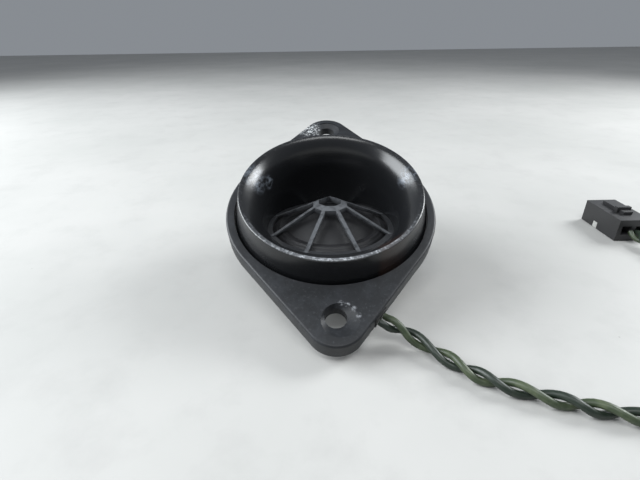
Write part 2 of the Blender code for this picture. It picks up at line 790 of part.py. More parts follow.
def make_rings(root):
    """Ring that the surround is glued to, with a slot for each coil lead, and the gasket over it."""
    top = FLAT_Z - BOND
    ring = lathe(
        "diaphragm_ring",
        [(RING_IN, RING_LOW), (RING_R, RING_LOW), (RING_R, top), (ROLL_OUT - 0.1, top), (RING_IN, top - 1)],
        root,
        DARK_PLASTIC,
    )
    slots = []
    for a in (BOARD_ANGLE, COIL_WIRE_ANGLE):
        low, high = (RING_IN - 2, -0.7, RING_LOW - 1), (RING_R + 2, 0.7, RING_LOW + 0.9)
        slots.append(box("c_slot", low, high, root, None, a))
    combine(ring, slots, "DIFFERENCE")
    gasket_low = FLAT_Z + SKIN + BOND
    tube_ring("gasket_ring", ROLL_OUT + 0.2, RING_R, gasket_low, gasket_low + GASKET_T, root, FOAM)


def on_board(across, radius, z):
    c, s = math.cos(BOARD_ANGLE), math.sin(BOARD_ANGLE)
    return (c * radius - s * across, s * radius + c * across, z)


def make_cover(root):
    inside = COLLAR_R - COVER_WALL
    profile = [
        (0, 0),
        (COLLAR_R - 0.6, 0),
        (COLLAR_R, 0.6),
        (COLLAR_R, COVER_TOP),
        (inside, COVER_TOP),
        (inside, COVER_T),
        (0, COVER_T),
    ]
    cover = lathe("rear_cover", profile, root, DARK_PLASTIC, WIDE_SEGS)
    cradle_low = (COLLAR_R - 0.9, CAP_Y0 + 0.6, CRADLE_LOW)
    cradle_high = (CAP_X + CAP_R - 0.15, CAP_Y1 - 0.6, CRADLE_HIGH)
    joined = [box("u_cradle", cradle_low, cradle_high, root)]
    cuts = []
    for number, degrees in enumerate(LUG_ANGLES, 1):
        at = around(LUG_RING_R, degrees)
        joined.append(disc("u_lug", LUG_R, LUG_LOW, COVER_TOP - 0.02, root, None, FINE_SEGS, at))
        cuts.append(disc("c_clear", CLEAR_R, LUG_LOW - 3, COVER_TOP + 3, root, None, 16, at))
        head_r = HEAD_R + HEAD_CLEAR
        cuts.append(disc("c_head", head_r, LUG_LOW - 2.6, LUG_LOW - 0.02, root, None, FINE_SEGS, at))
        make_screw(f"cover_screw_{number}", LUG_LOW - BOND, PILOT_TOP - 0.6, at, root)
    combine(cover, joined, "UNION")
    window_low = (inside - 1.5, -WINDOW_W / 2, WINDOW_LOW)
    window_high = (COLLAR_R + 0.3, WINDOW_W / 2, WINDOW_HIGH)
    cuts.append(box("c_window", window_low, window_high, root, None, BOARD_ANGLE))
    inner, outer = wire_hole_ends()
    cuts.append(rod("c_wire", WIRE_R + 0.4, inner, outer, root, None, 12))
    bed = [(CAP_X, y, CAP_Z) for y in (CAP_Y0 - 3, CAP_Y1 + 3)]
    cuts.append(rod("c_bed", CAP_R + CAP_BED, *bed, root, None, 24))
    return combine(cover, cuts, "DIFFERENCE")


def wire_hole_ends():
    """Inner and outer ends of the hole for the capacitor's rear wire."""
    inner = Vector((*around(COLLAR_R - 2 * COVER_WALL, 29.2), CAP_Z))
    outer = Vector((*around(COLLAR_R + 3.5, 29.2), CAP_Z))
    return inner, outer


def make_screw(name, seat, tip, at, parent):
    """Small self-tapping screw with its head below the seat and a cross recess."""
    profile = [
        (0, seat - HEAD_H),
        (HEAD_R - 0.45, seat - HEAD_H),
        (HEAD_R, seat - HEAD_H + 0.45),
        (HEAD_R, seat),
        (SHANK_R, seat),
        (SHANK_R, tip - 0.8),
        (0, tip),
    ]
    screw = lathe(name, profile, parent, SCREW_STEEL, FINE_SEGS, at)
    low, high = seat - HEAD_H - 0.2, seat - HEAD_H + CROSS_D
    arms = []
    for half_x, half_y in ((CROSS_L / 2, CROSS_W / 2), (CROSS_W / 2, CROSS_L / 2)):
        corner = (at[0] - half_x, at[1] - half_y, low)
        arms.append(box("c_cross", corner, (at[0] + half_x, at[1] + half_y, high), parent))
    return combine(screw, arms, "DIFFERENCE")


def make_terminals(root):
    face = BOARD_R + BOARD_T / 2
    board = box(
        "terminal_board",
        (BOARD_R - BOARD_T / 2, -BOARD_W / 2, BOARD_LOW),
        (face, BOARD_W / 2, BOARD_HIGH),
        root,
        BOARD_BROWN,
        BOARD_ANGLE,
    )
    slots = []
    half_slot = LEG_W / 2 + LEG_CLEAR
    for side, name in ((-1, "terminal_negative"), (1, "terminal_positive")):
        across = side * TAG_SPAN
        low = (BOARD_R - 2, across - half_slot, LEG_LOW - LEG_CLEAR)
        high = (BOARD_R + 2, across + half_slot, LEG_HIGH + LEG_CLEAR)
        slots.append(box("c_slot", low, high, root, None, BOARD_ANGLE))
        low = (face + BOND, across - TAG_W / 2, TAG_LOW)
        high = (face + BOND + TAG_T, across + TAG_W / 2, TAG_HIGH)
        blade = box(name, low, high, root, TIN, BOARD_ANGLE)
        low = (BOARD_R - 2.6, across - LEG_W / 2, LEG_LOW)
        high = (face + BOND + TAG_T / 2, across + LEG_W / 2, LEG_HIGH)
        combine(blade, [box("u_leg", low, high, root, None, BOARD_ANGLE)], "UNION")
    combine(board, slots, "DIFFERENCE")


def make_capacitor(root):
    length = CAP_Y1 - CAP_Y0
    profile = [
        (0, 0),
        (CAP_R - 0.5, 0),
        (CAP_R, 0.4),
        (CAP_R, 1.3),
        (CAP_R - 0.22, 1.6),
        (CAP_R, 1.9),
        (CAP_R, length - 0.4),
        (CAP_R - 0.5, length),
        (0, length),
    ]
    verts, faces = lathe_mesh(profile, 24)
    verts = [(CAP_X + x, CAP_Y0 + z, CAP_Z + y) for x, y, z in verts]
    node("series_capacitor", verts, faces, root, CAP_BLUE)
    tag = Vector(on_board(TAG_SPAN, BOARD_R + BOARD_T / 2 + 1.3, TAG_HIGH - 1))
    front = [
        (CAP_X, CAP_Y0 - BOND, CAP_Z),
        (CAP_X, CAP_Y0 - 1.5, CAP_Z),
        (CAP_X - 0.6, CAP_Y0 - 3.2, CAP_Z + 0.5),
        (CAP_X - 2.0, CAP_Y0 - 5.3, CAP_Z + 1.2),
        (tag.x + 0.6, tag.y + 0.8, tag.z),
        tuple(tag),
    ]
    bar("capacitor_lead_front", WIRE_R, front, root, TIN)
    inner, outer = wire_hole_ends()
    rear = [
        (CAP_X, CAP_Y1 + BOND, CAP_Z),
        (CAP_X, CAP_Y1 + 1.8, CAP_Z),
        (CAP_X - 0.9, CAP_Y1 + 3.4, CAP_Z),
        tuple(inner.lerp(outer, 0.6)),
        tuple(inner.lerp(outer, 0.35)),
        tuple(inner),
    ]
    bar("capacitor_lead_rear", WIRE_R, rear, root, TIN)


def make_coil_leads(root):
    """Flexible leads from the winding, through the ring's slots and down beside the yoke."""
    z = RING_LOW + 0.45
    start = COIL_R + 0.35
    down = [(start, z), (WIRE_DUCT_R - 0.7, z), (WIRE_DUCT_R - 0.2, z - 0.2), (WIRE_DUCT_R, z - 0.9)]
    a = COIL_WIRE_ANGLE
    path = [(math.cos(a) * r, math.sin(a) * r, h) for r, h in [*down, (WIRE_DUCT_R, CAP_Z + 0.6)]]
    bar("coil_lead_positive", COIL_WIRE_R, path, root, COPPER, 6)
    path = [on_board(0.0, r, h) for r, h in [*down, (WIRE_DUCT_R, TAG_HIGH - 0.7)]]
    end = Vector(on_board(-TAG_SPAN, BOARD_R - 2.3, LEG_HIGH + 0.35))
    path += [tuple(Vector(path[-1]).lerp(end, 0.5)), tuple(end)]
    bar("coil_lead_negative", COIL_WIRE_R, path, root, COPPER, 6)


def make_lead(root, frame):
    grommet = grommet_block("strain_relief", frame, 0.0, RUBBER)
    bores = []
    cores = ((-1, "lead_core_negative", WIRE_BLACK), (1, "lead_core_positive", WIRE_GREEN))
    for side, name, finish in cores:
        shift = side * CORE_APART
        ends = [edge_point(out_by, shift, EXIT_Z) for out_by in (-5.0, 4.0)]
        bores.append(rod("c_bore", CORE_R + CORE_CLEAR, *ends, frame))
        tag_face = BOARD_R + BOARD_T / 2 + BOND + TAG_T
        start = on_board(side * TAG_SPAN, tag_face + CORE_R + GAP, 4.6 + 0.7 * side)
        aside = Vector(CORE_ASIDE) * side
        run = []
        for angle, out_by, z in CORE_RUN:
            spot = Vector((math.cos(angle), math.sin(angle))) * (OPENING_R + out_by) + aside
            run.append(from_flange(spot.x, spot.y, z))
        through = [from_flange(*edge_point(out_by, shift, EXIT_Z)) for out_by in (-3.4, -2.0, EXIT_PROUD)]
        bar(name, CORE_R, smooth_path([start, *run, *through], 4), root, finish)
    combine(grommet, bores, "DIFFERENCE")
    cord = bpy.data.curves.new("lead_cord", "CURVE")
    cord.dimensions = "3D"
    cord.bevel_depth = LEAD_R * MM
    cord.bevel_resolution = 2
    cord.use_fill_caps = True
    line = cord.splines.new("POLY")
    path = smooth_path(lead_path(), LEAD_STEPS)
    line.points.add(len(path) - 1)
    for point, p in zip(line.points, path):
        point.co = (*(Vector(p) * MM), 1.0)
    cord.materials.append(material("lead_cord", *WIRE_GREEN))
    obj = bpy.data.objects.new("lead_cord", cord)
    bpy.context.scene.collection.objects.link(obj)
    obj.parent = root


def make_plug(root):
    end = Vector(lead_path()[-1])
    x, y0 = end.x, end.y + GAP
    y1 = y0 + PLUG_L
    low, high = PLUG_LOW, PLUG_LOW + PLUG_H
    middle = (low + high) / 2
    floor = middle - CAVITY / 2
    half_w = PLUG_W / 2
    housing = box("plug_housing", (x - half_w, y0, low), (x + half_w, y1, high), root, DARK_PLASTIC)
    rib_low, rib_high = (x - RIB_W / 2, y0 + 4, high - GAP), (x + RIB_W / 2, y1 - 3, high + RIB_H)
    catch_low = (x - CATCH_W / 2, y0 + 6, high - GAP)
    catch_high = (x + CATCH_W / 2, y0 + 6 + CATCH_T, high + CATCH_H)
    joined = [box("u_rib", rib_low, rib_high, root), box("u_catch", catch_low, catch_high, root)]
    combine(housing, joined, "UNION")
    cuts = []
    for number, side in ((1, -1), (2, 1)):
        cx = x + side * PITCH / 2
        half = CAVITY / 2
        cuts.append(box("c_cavity", (cx - half, y0 - 1, floor), (cx + half, y1 + 1, floor + CAVITY), root))
        half = CONTACT / 2
        contact_low = (cx - half, y0 + 3, middle - half)
        contact_high = (cx + half, y1 - 1.2, middle + half)
        contact = box(f"plug_contact_{number}", contact_low, contact_high, root, TIN)
        half -= CONTACT_WALL
        socket = box("c_in", (cx - half, y0 + 9, middle - half), (cx + half, y1, middle + half), root)
        combine(contact, [socket], "DIFFERENCE")
    lock_y = y0 + LOCK_AT
    slot_low = (x - PLUG_W, lock_y, low - 1)
    cuts.append(box("c_lock", slot_low, (x + PLUG_W, lock_y + LOCK_T, floor + 0.01), root))
    combine(housing, cuts, "DIFFERENCE")
    lock_low = (x - half_w, lock_y + 0.15, low + BOND)
    box("plug_lock", lock_low, (x + half_w, lock_y + LOCK_T - 0.15, floor - 0.1), root, LOCK_GREY)


def main():
    clear_scene()
    root = empty("driver_axis", (0.0, AXIS_Y, 0.0))
    frame = empty("flange_plane", from_flange(0.0, 0.0, 0.0), TILT, root)
    moving = empty("coil_slide", (0.0, 0.0, 0.0), 0.0, root)
    bpy.context.view_layer.update()
    make_flange(frame)
    make_bell(root, frame)
    for side, name in ((-1, "flange_screw_front"), (1, "flange_screw_rear")):
        make_screw(name, -SKIRT_DEPTH - BOND, -0.95, (0, side * FLANGE_SCREW_Y), frame)
    make_guard(root)
    make_dome(moving)
    make_surround(root)
    make_motor(root, moving)
    make_rings(root)
    make_cover(root)
    make_terminals(root)
    make_capacitor(root)
    make_coil_leads(root)
    make_lead(root, frame)
    make_plug(root)
    for obj in bpy.data.objects:
        if obj.type == "MESH":
            shade_round(obj)


main()
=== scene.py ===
"""Looks of the car tweeter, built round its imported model.

Lengths are millimetres, turned into metres by MM. Pieces of the driver are drawn from its axis, and pieces
of the flange in the flange's own leaning frame, whose zero is the centre of the flange's top face.
"""

import math

import bmesh
import bpy
from mathutils import Matrix, Vector


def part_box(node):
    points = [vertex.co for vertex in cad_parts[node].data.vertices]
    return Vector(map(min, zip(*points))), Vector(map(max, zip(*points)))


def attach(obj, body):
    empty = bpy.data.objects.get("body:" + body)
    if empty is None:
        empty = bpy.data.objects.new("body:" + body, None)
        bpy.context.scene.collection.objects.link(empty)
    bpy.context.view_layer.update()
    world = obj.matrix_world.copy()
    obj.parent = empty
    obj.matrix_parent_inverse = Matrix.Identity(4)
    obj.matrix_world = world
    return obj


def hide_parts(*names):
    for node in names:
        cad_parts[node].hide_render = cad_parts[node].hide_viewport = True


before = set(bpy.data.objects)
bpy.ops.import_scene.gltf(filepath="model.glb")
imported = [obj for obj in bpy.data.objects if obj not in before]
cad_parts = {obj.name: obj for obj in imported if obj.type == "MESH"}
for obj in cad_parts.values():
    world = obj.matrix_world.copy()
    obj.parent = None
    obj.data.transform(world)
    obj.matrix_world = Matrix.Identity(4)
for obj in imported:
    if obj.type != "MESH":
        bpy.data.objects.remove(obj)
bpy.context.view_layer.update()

MM = 0.001


def node_box(name):
    """Low and high corners of a CAD node, in millimetres."""
    low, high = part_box(name)
    return low / MM, high / MM


# Sizes taken from the frame
dome_low, dome_high = node_box("dome")
surround_low, surround_high = node_box("surround")
guard_low, guard_high = node_box("spider_guard")
AXIS_Y = (dome_low.y + dome_high.y) / 2
DOME_R = dome_high.x
DOME_Z = dome_low.z
DOME_TOP = dome_high.z
SURROUND_R = surround_high.x
FLAT_Z = surround_low.z
GUARD_R = guard_high.x
GUARD_LOW = guard_low.z
COVER_TOP = node_box("rear_cover")[1].z
FLANGE_R = node_box("mounting_flange")[1].x

# Dome and surround
SKIN = 0.25
FORMER_INSET = 0.15
ROLL_GAP = 0.3  # from the dome's edge to the roll
ROLL_FLAT = 1.6  # from the roll to the surround's edge
ROLL_DROP = 1.1
ROLL_H = 0.4
RIBS = 3
RIB_H = 0.09

# Guard, as in the CAD
GUARD_T = 0.7
GUARD_LAP = 1.45
GUARD_TOP = GUARD_LOW + GUARD_T
GUARD_IN_R = SURROUND_R - GUARD_LAP
SPOKES = 8
SPOKE_W = 0.95
SPOKE_D = 1.3
SPOKE_RISE = 0.5
SPOKE_FOOT_R = GUARD_IN_R + 0.8
SPOKE_FOOT_H = 0.4
TONGUE = 0.12
HUB_R = 4.8
HUB_HOLE_R = 3.2
HUB_T = 1.4
HUB_TIP = 1.1

# Bell and flange, as in the CAD
TILT = math.radians(21.5)
PIVOT_DROP = 6.8
PIVOT_Z = GUARD_TOP
SHELF_Z = GUARD_TOP + 0.1
THROAT_Z = SHELF_Z + 0.35
THROAT_R = GUARD_IN_R + 1.1
THROAT_SWELL = 2.1
BELL_T = 1.4
BEAD_OUT = 0.5
OPENING_R = FLANGE_R - 2.1
WALL_BASE_R = OPENING_R - 0.6
RIM_R = WALL_BASE_R - 1.56
RIM_H = 6.2
LIP = 0.4
WALL_TOP_R = RIM_R + 0.45
SKIRT_DEPTH = 3.6
SOCKET_R = GUARD_R + 0.2
COLLAR_R = SOCKET_R + 1.5
COLLAR_LOW = COVER_TOP + 0.3
SHELF_R = SOCKET_R - 0.6
FLANGE_T = 4.0
PLATE_T = 2.1
EDGE_R = 0.55
EAR_R = 6.45
FRONT_EAR_Y = FLANGE_R + 6.0
REAR_EAR_Y = FLANGE_R + 7.0
SCREW_HOLE_R = 2.35
SINK_R = 3.95
SINK_STEP = 0.2
SINK_D = 1.0
FRONT_HOLE_Y = FRONT_EAR_Y - 0.6
REAR_HOLE_Y = REAR_EAR_Y + 0.6
FRONT_SINK_SHIFT = (0.8, -0.95)
HOLLOW_WALL = 1.6
BOSS_T = 1.7
TAB_NOTCH_HALF = 3.6
EXIT_NOTCH_HALF = 2.1
EXIT_NOTCH_IN = 2.15
EXIT_NOTCH_TOP = -0.95
MOULD_LINE_X = 9.5

# Lead: two twisted wires along the route of the CAD's tube, which is repeated here
LEAD_LOW = 1.68
EXIT_ALONG = -18.6
EXIT_Z = -3.05
EXIT_OUT = 0.45
LEAD_RUN = (
    (0.0, 0.0, 1.0),
    (0.95, -0.65, 0.94),
    (2.5, -1.15, 0.77),
    (4.3, -1.55, 0.52),
    (6.3, -2.45, 0.27),
    (8.7, -4.35, 0.08),
    (11.4, -7.05, 0.0),
    (14.3, -10.15, 0.0),
    (17.6, -13.05, 0.0),
    (21.9, -15.45, 0.0),
    (27.9, -18.05, 0.0),
    (34.9, -20.55, 0.0),
    (42.9, -22.75, 0.0),
    (51.9, -23.95, 0.0),
    (61.4, -23.05, 0.0),
    (69.9, -19.35, 0.0),
    (76.9, -13.15, 0.0),
    (81.7, -4.65, 0.0),
    (84.2, 5.35, 0.0),
    (84.9, 16.85, 0.0),
    (84.9, 26.85, 0.015),
    (84.9, 35.85, 0.18),
    (84.9, 42.85, 0.43),
)
STRAND_R = 0.75
STRAND_OFFSET = 0.9
TWIST_PITCH = 13.2
TWIST_AFTER = 1.0
TWIST_EASE = 10.0
STRAND_STEP = 0.9
STRAND_SEGS = 12

# Camera, from the driver's axis
CAMERA_AT = (-3.585, -97.263, 59.185)
CAMERA_RIGHT = (0.99981, -0.01479, -0.01277)
CAMERA_UP = (0.01814, 0.4599, 0.88779)
CAMERA_FORWARD = (0.00726, 0.88785, -0.46008)
LENS = 22.37

# Meshes
BELL_SEGS = 180
BELL_STEPS = 20
ROUND_SEGS = 128
HOLE_SEGS = 64
FLANGE_ARC = 40
EDGE_STEPS = 6
CUTTER = 9.0  # how far a cutter reaches past the flange
TABLE_HALF = 1600.0

# Insulation: its colour, and the colour of its worn places
DARK_WIRE = ((0.01, 0.018, 0.011), (0.03, 0.04, 0.028))
OLIVE_WIRE = ((0.035, 0.05, 0.025), (0.09, 0.11, 0.06))


# ---------------------------------------------------------------- materials


class Paint:
    """Node tree of one material, with short calls for the nodes that the finishes share."""

    def __init__(self, name, color, metallic, roughness, specular=0.5):
        self.material = bpy.data.materials.new(name)
        self.material.use_nodes = True
        self.tree = self.material.node_tree
        self.shader = self.tree.nodes["Principled BSDF"]
        self.shader.inputs["Base Color"].default_value = (*color, 1.0)
        self.shader.inputs["Metallic"].default_value = metallic
        self.shader.inputs["Roughness"].default_value = roughness
        self.shader.inputs["Specular IOR Level"].default_value = specular
        self.material.diffuse_color = (*color, 1.0)
        self.place = self.tree.nodes.new("ShaderNodeTexCoord").outputs["Object"]
        self.height = None

    def link(self, source, target):
        self.tree.links.new(source, target)

    def moved(self, scale=(1, 1, 1), turn=(0, 0, 0)):
        mapping = self.tree.nodes.new("ShaderNodeMapping")
        mapping.inputs["Scale"].default_value = scale
        mapping.inputs["Rotation"].default_value = turn
        self.link(self.place, mapping.inputs["Vector"])
        return mapping.outputs["Vector"]

    def noise(self, per_metre, detail=4.0, rough=0.55, scale=(1, 1, 1), turn=(0, 0, 0)):
        made = self.tree.nodes.new("ShaderNodeTexNoise")
        made.inputs["Scale"].default_value = per_metre
        made.inputs["Detail"].default_value = detail
        made.inputs["Roughness"].default_value = rough
        self.link(self.moved(scale, turn), made.inputs["Vector"])
        return made.outputs["Fac"]

    def cells(self, per_metre):
        made = self.tree.nodes.new("ShaderNodeTexVoronoi")
        made.inputs["Scale"].default_value = per_metre
        self.link(self.moved(), made.inputs["Vector"])
        return made.outputs["Distance"]

    def waves(self, per_metre, direction):
        made = self.tree.nodes.new("ShaderNodeTexWave")
        made.bands_direction = direction
        made.inputs["Scale"].default_value = per_metre
        made.inputs["Distortion"].default_value = 0.4
        self.link(self.moved(), made.inputs["Vector"])
        return made.outputs["Fac"]

    def attribute(self, name):
        made = self.tree.nodes.new("ShaderNodeAttribute")
        made.attribute_name = name
        return made.outputs["Fac"]

    def spread(self, value, low, high, out_low=0.0, out_high=1.0):
        made = self.tree.nodes.new("ShaderNodeMapRange")
        made.inputs["From Min"].default_value = low
        made.inputs["From Max"].default_value = high
        made.inputs["To Min"].default_value = out_low
        made.inputs["To Max"].default_value = out_high
        self.link(value, made.inputs["Value"])
        return made.outputs["Result"]

    def coordinate(self, axis):
        made = self.tree.nodes.new("ShaderNodeSeparateXYZ")
        self.link(self.place, made.inputs["Vector"])
        return made.outputs[axis]

    def near(self, spot, radius, soft=0.6):
        """1 at a point of the object, in millimetres, falling to 0 at the radius."""
        made = self.tree.nodes.new("ShaderNodeVectorMath")
        made.operation = "DISTANCE"
        made.inputs[1].default_value = Vector(spot) * MM
        self.link(self.place, made.inputs[0])
        return self.spread(made.outputs["Value"], radius * MM * (1 - soft), radius * MM, 1.0, 0.0)

    def math(self, operation, a, b):
        made = self.tree.nodes.new("ShaderNodeMath")
        made.operation = operation
        for socket, value in zip(made.inputs, (a, b)):
            if isinstance(value, (int, float)):
                socket.default_value = value
            else:
                self.link(value, socket)
        return made.outputs["Value"]

    def times(self, a, b):
        return self.math("MULTIPLY", a, b)

    def blend(self, a, b, share):
        """A share of a, and the rest of b."""
        return self.math("ADD", self.times(a, share), self.times(b, 1 - share))

    def tint(self, factor, color):
        """Mixes another colour into the base colour."""
        mix = self.tree.nodes.new("ShaderNodeMix")
        mix.data_type = "RGBA"
        base = self.shader.inputs["Base Color"]
        if base.is_linked:
            self.link(base.links[0].from_socket, mix.inputs["A"])
        else:
            mix.inputs["A"].default_value = base.default_value
        mix.inputs["B"].default_value = (*color, 1.0)
        self.link(factor, mix.inputs["Factor"])
        self.link(mix.outputs["Result"], base)

    def roughen(self, factor, low, high):
        self.link(self.spread(factor, 0.0, 1.0, low, high), self.shader.inputs["Roughness"])

    def bump(self, height, depth_mm, strength=1.0):
        made = self.tree.nodes.new("ShaderNodeBump")
        made.inputs["Distance"].default_value = depth_mm * MM
        made.inputs["Strength"].default_value = strength
        self.link(height, made.inputs["Height"])
        if self.height is not None:
            self.link(self.height, made.inputs["Normal"])
        self.height = made.outputs["Normal"]
        self.link(self.height, self.shader.inputs["Normal"])


def bell_plastic():
    """Satin black moulding, wavy and grained, with rubbed patches near the rim and a painted highlight along
    the top of the rim, brightest at the front and broken into speckle.
    """
    paint = Paint("bell_plastic", (0.008, 0.0085, 0.0095), 0.0, 0.3, 0.55)
    grain = paint.noise(2600, 3.0)
    cloud = paint.noise(90, 4.0)
    paint.roughen(paint.blend(cloud, grain, 0.7), 0.15, 0.34)
    paint.bump(paint.noise(75, 2.0), 0.25, 0.25)
    paint.bump(grain, 0.012, 0.35)
    # rubbed patches: angle, height in the horn, and reach
    for angle, height, reach in ((163.0, 0.8, 4.6), (15.0, 0.84, 3.8), (152.0, 0.55, 2.6)):
        a = math.radians(angle)
        wall_r = THROAT_R + (RIM_R - THROAT_R) * height
        spot = from_flange(wall_r * math.cos(a), wall_r * math.sin(a), -6 + 12 * height)
        mask = paint.near(spot, reach, 0.9)
        streaks = paint.noise(900, 6.0, 0.75, (1.0, 0.35, 1.0), (0, 0, math.radians(35)))
        rub = paint.times(mask, paint.spread(streaks, 0.44, 0.62))
        paint.tint(paint.times(rub, 0.75), (0.36, 0.41, 0.48))
    # mould line on the front of the wall, with a reddish bloom beside it
    across = paint.coordinate("X")
    front = paint.spread(paint.coordinate("Y"), -16 * MM, -18 * MM)
    off_line = paint.math("ABSOLUTE", paint.math("SUBTRACT", across, MOULD_LINE_X * MM), 0)
    line = paint.spread(off_line, 0.0, 0.2 * MM, 1.0, 0.0)
    bloom_in = paint.spread(across, (MOULD_LINE_X + 0.1) * MM, (MOULD_LINE_X + 0.9) * MM)
    bloom_out = paint.spread(across, (MOULD_LINE_X + 8.5) * MM, (MOULD_LINE_X + 1.5) * MM)
    bloom = paint.times(bloom_in, bloom_out)
    paint.tint(paint.times(front, paint.times(bloom, 0.6)), (0.03, 0.016, 0.012))
    paint.tint(paint.times(front, line), (0.003, 0.003, 0.003))
    # painted highlight along the top of the rim, brightest at the front and broken into speckle
    painted_highlight = paint.attribute("painted_highlight")
    chips = paint.spread(paint.noise(1300, 6.0, 0.7), 0.5, 0.64, 0.22, 1.0)
    paint.tint(paint.times(painted_highlight, chips), (0.5, 0.52, 0.55))
    return paint.material


def flange_plastic():
    """Matte charcoal moulding: grained and dusty, speckled by the far hole and chipped round the near one."""
    paint = Paint("flange_plastic", (0.009, 0.010, 0.012), 0.0, 0.45, 0.4)
    grain = paint.noise(1900, 4.0, 0.65)
    dust = paint.noise(230, 6.0, 0.7)
    paint.tint(paint.spread(dust, 0.44, 0.7, 0.0, 0.6), (0.026, 0.029, 0.034))
    paint.tint(paint.spread(grain, 0.58, 0.75, 0.0, 0.5), (0.06, 0.064, 0.07))
    paint.roughen(grain, 0.36, 0.6)
    paint.bump(paint.noise(70, 2.0), 0.2, 0.2)
    paint.bump(grain, 0.03, 0.5)
    flecks = paint.spread(paint.noise(1700, 5.0, 0.7), 0.5, 0.58)
    spot = from_flange(-5.2, REAR_HOLE_Y + 0.4, 0.0)
    paint.tint(paint.times(paint.near(spot, 4.6, 0.7), flecks), (0.6, 0.62, 0.63))
    # chips along the uphill right side of the low ear's countersink
    chips = paint.spread(paint.noise(1300, 6.0, 0.7), 0.44, 0.6)
    for degrees in (15, 40, 65, 85):
        a = math.radians(degrees)
        x = FRONT_SINK_SHIFT[0] + SINK_R * math.cos(a)
        y = FRONT_SINK_SHIFT[1] + SINK_R * math.sin(a)
        mask = paint.near(from_flange(x, y - FRONT_HOLE_Y, 0.0), 0.75, 0.7)
        paint.tint(paint.times(mask, chips), (0.3, 0.31, 0.33))
    return paint.material


def guard_plastic():
    """Black moulding, with a painted highlight greying the upper faces of the spokes and hub."""
    paint = Paint("guard_plastic", (0.012, 0.0125, 0.014), 0.0, 0.35, 0.5)
    grain = paint.noise(2200, 4.0, 0.65)
    paint.roughen(paint.noise(300, 4.0), 0.26, 0.48)
    paint.bump(grain, 0.02, 0.5)
    # painted highlight on the upper faces of the spokes and hub, broken into patches
    edge = paint.attribute("painted_highlight")
    patches = paint.spread(paint.noise(800, 5.0), 0.2, 0.55)
    paint.tint(paint.times(edge, patches), (0.1, 0.105, 0.113))
    return paint.material


def coated_cloth(name, color):
    """Fine weave under a thin damping coat."""
    paint = Paint(name, color, 0.0, 0.5, 0.4)
    across = paint.waves(3300, "X")
    along = paint.waves(3300, "Y")
    weave = paint.blend(across, along, 0.5)
    cloud = paint.noise(260, 4.0)
    paint.tint(paint.spread(weave, 0.2, 0.9, 0.0, 0.5), tuple(c * 2.4 for c in color))
    paint.tint(paint.spread(cloud, 0.45, 0.8, 0.0, 0.5), tuple(c * 1.8 for c in color))
    paint.roughen(cloud, 0.38, 0.62)
    paint.bump(weave, 0.03, 0.55)
    return paint.material


def moulded(name, color, roughness=0.5, grain_scale=1800):
    """Moulded plastic, rubber or film: grained, with a faint clouding."""
    paint = Paint(name, color, 0.0, roughness)
    grain = paint.noise(grain_scale, 4.0, 0.6)
    cloud = paint.noise(140, 4.0)
    paint.tint(paint.spread(cloud, 0.4, 0.8, 0.0, 0.5), tuple(min(1.0, c * 1.7 + 0.004) for c in color))
    paint.roughen(cloud, roughness * 0.8, min(1.0, roughness * 1.25))
    paint.bump(grain, 0.02, 0.5)
    return paint.material


def plated(name, color, roughness=0.32):
    """Bright metal with fine drawing lines and a little tarnish."""
    paint = Paint(name, color, 1.0, roughness)
    lines = paint.noise(1400, 4.0, 0.6, (1.0, 1.0, 0.12))
    tarnish = paint.noise(350, 5.0, 0.65)
    paint.tint(paint.spread(tarnish, 0.45, 0.75, 0.0, 0.6), tuple(c * 0.55 for c in color))
    paint.roughen(paint.blend(lines, tarnish, 0.5), roughness * 0.7, roughness * 1.5)
    paint.bump(lines, 0.01, 0.4)
    return paint.material


def fibrous(name, color, scale=2200):
    """Felt or foam."""
    paint = Paint(name, color, 0.0, 0.95, 0.2)
    fibre = paint.noise(scale, 6.0, 0.75)
    paint.tint(paint.spread(fibre, 0.4, 0.7), tuple(min(1.0, c * 2.2) for c in color))
    paint.roughen(fibre, 0.85, 1.0)
    paint.bump(fibre, 0.08, 0.8)
    return paint.material


def wound_copper(name, color):
    """Copper wire, with dark lines between the turns."""
    paint = Paint(name, color, 0.9, 0.35)
    turns = paint.waves(1500, "Z")
    paint.tint(paint.spread(turns, 0.1, 0.5, 0.7, 0.0), tuple(c * 0.3 for c in color))
    paint.roughen(paint.noise(700, 4.0), 0.25, 0.45)
    paint.bump(turns, 0.05, 0.9)
    return paint.material


def insulation(name, color, worn):
    """Smooth wire insulation, slightly uneven and worn."""
    paint = Paint(name, color, 0.0, 0.4, 0.5)
    cloud = paint.noise(420, 5.0, 0.65)
    paint.tint(paint.spread(cloud, 0.45, 0.75, 0.0, 0.8), worn)
    paint.roughen(paint.noise(900, 4.0), 0.3, 0.55)
    paint.bump(paint.noise(600, 3.0), 0.05, 0.4)
    paint.bump(paint.noise(3200, 3.0), 0.01, 0.5)
    return paint.material


# ---------------------------------------------------------------- shapes


def from_flange(x, y, z):
    """Flange frame to the shared frame, in millimetres."""
    c, s = math.cos(TILT), math.sin(TILT)
    return Vector((x, AXIS_Y + c * y - s * (z + PIVOT_DROP), PIVOT_Z + s * y + c * (z + PIVOT_DROP)))


def on_axis(x, y, z):
    return Vector((x, y + AXIS_Y, z))


def piece(name, points, faces, material=None, sharp=30.0):
    """Smooth mesh object from points in millimetres, with edges sharper than an angle kept."""
    mesh = bpy.data.meshes.new(name)
    mesh.from_pydata([Vector(p) * MM for p in points], [], faces)
    shell = bmesh.new()
    shell.from_mesh(mesh)
    bmesh.ops.recalc_face_normals(shell, faces=shell.faces)
    shell.to_mesh(mesh)
    shell.free()
    obj = bpy.data.objects.new(name, mesh)
    bpy.context.scene.collection.objects.link(obj)
    if material:
        mesh.materials.append(material)
    shade_round(obj, sharp)
    return obj


def shade_round(obj, sharp=30.0):
    shell = bmesh.new()
    shell.from_mesh(obj.data)
    for face in shell.faces:
        face.smooth = True
    for edge in shell.edges:
        if len(edge.link_faces) == 2:
            edge.smooth = edge.calc_face_angle(0.0) < math.radians(sharp)
    shell.to_mesh(obj.data)
    shell.free()


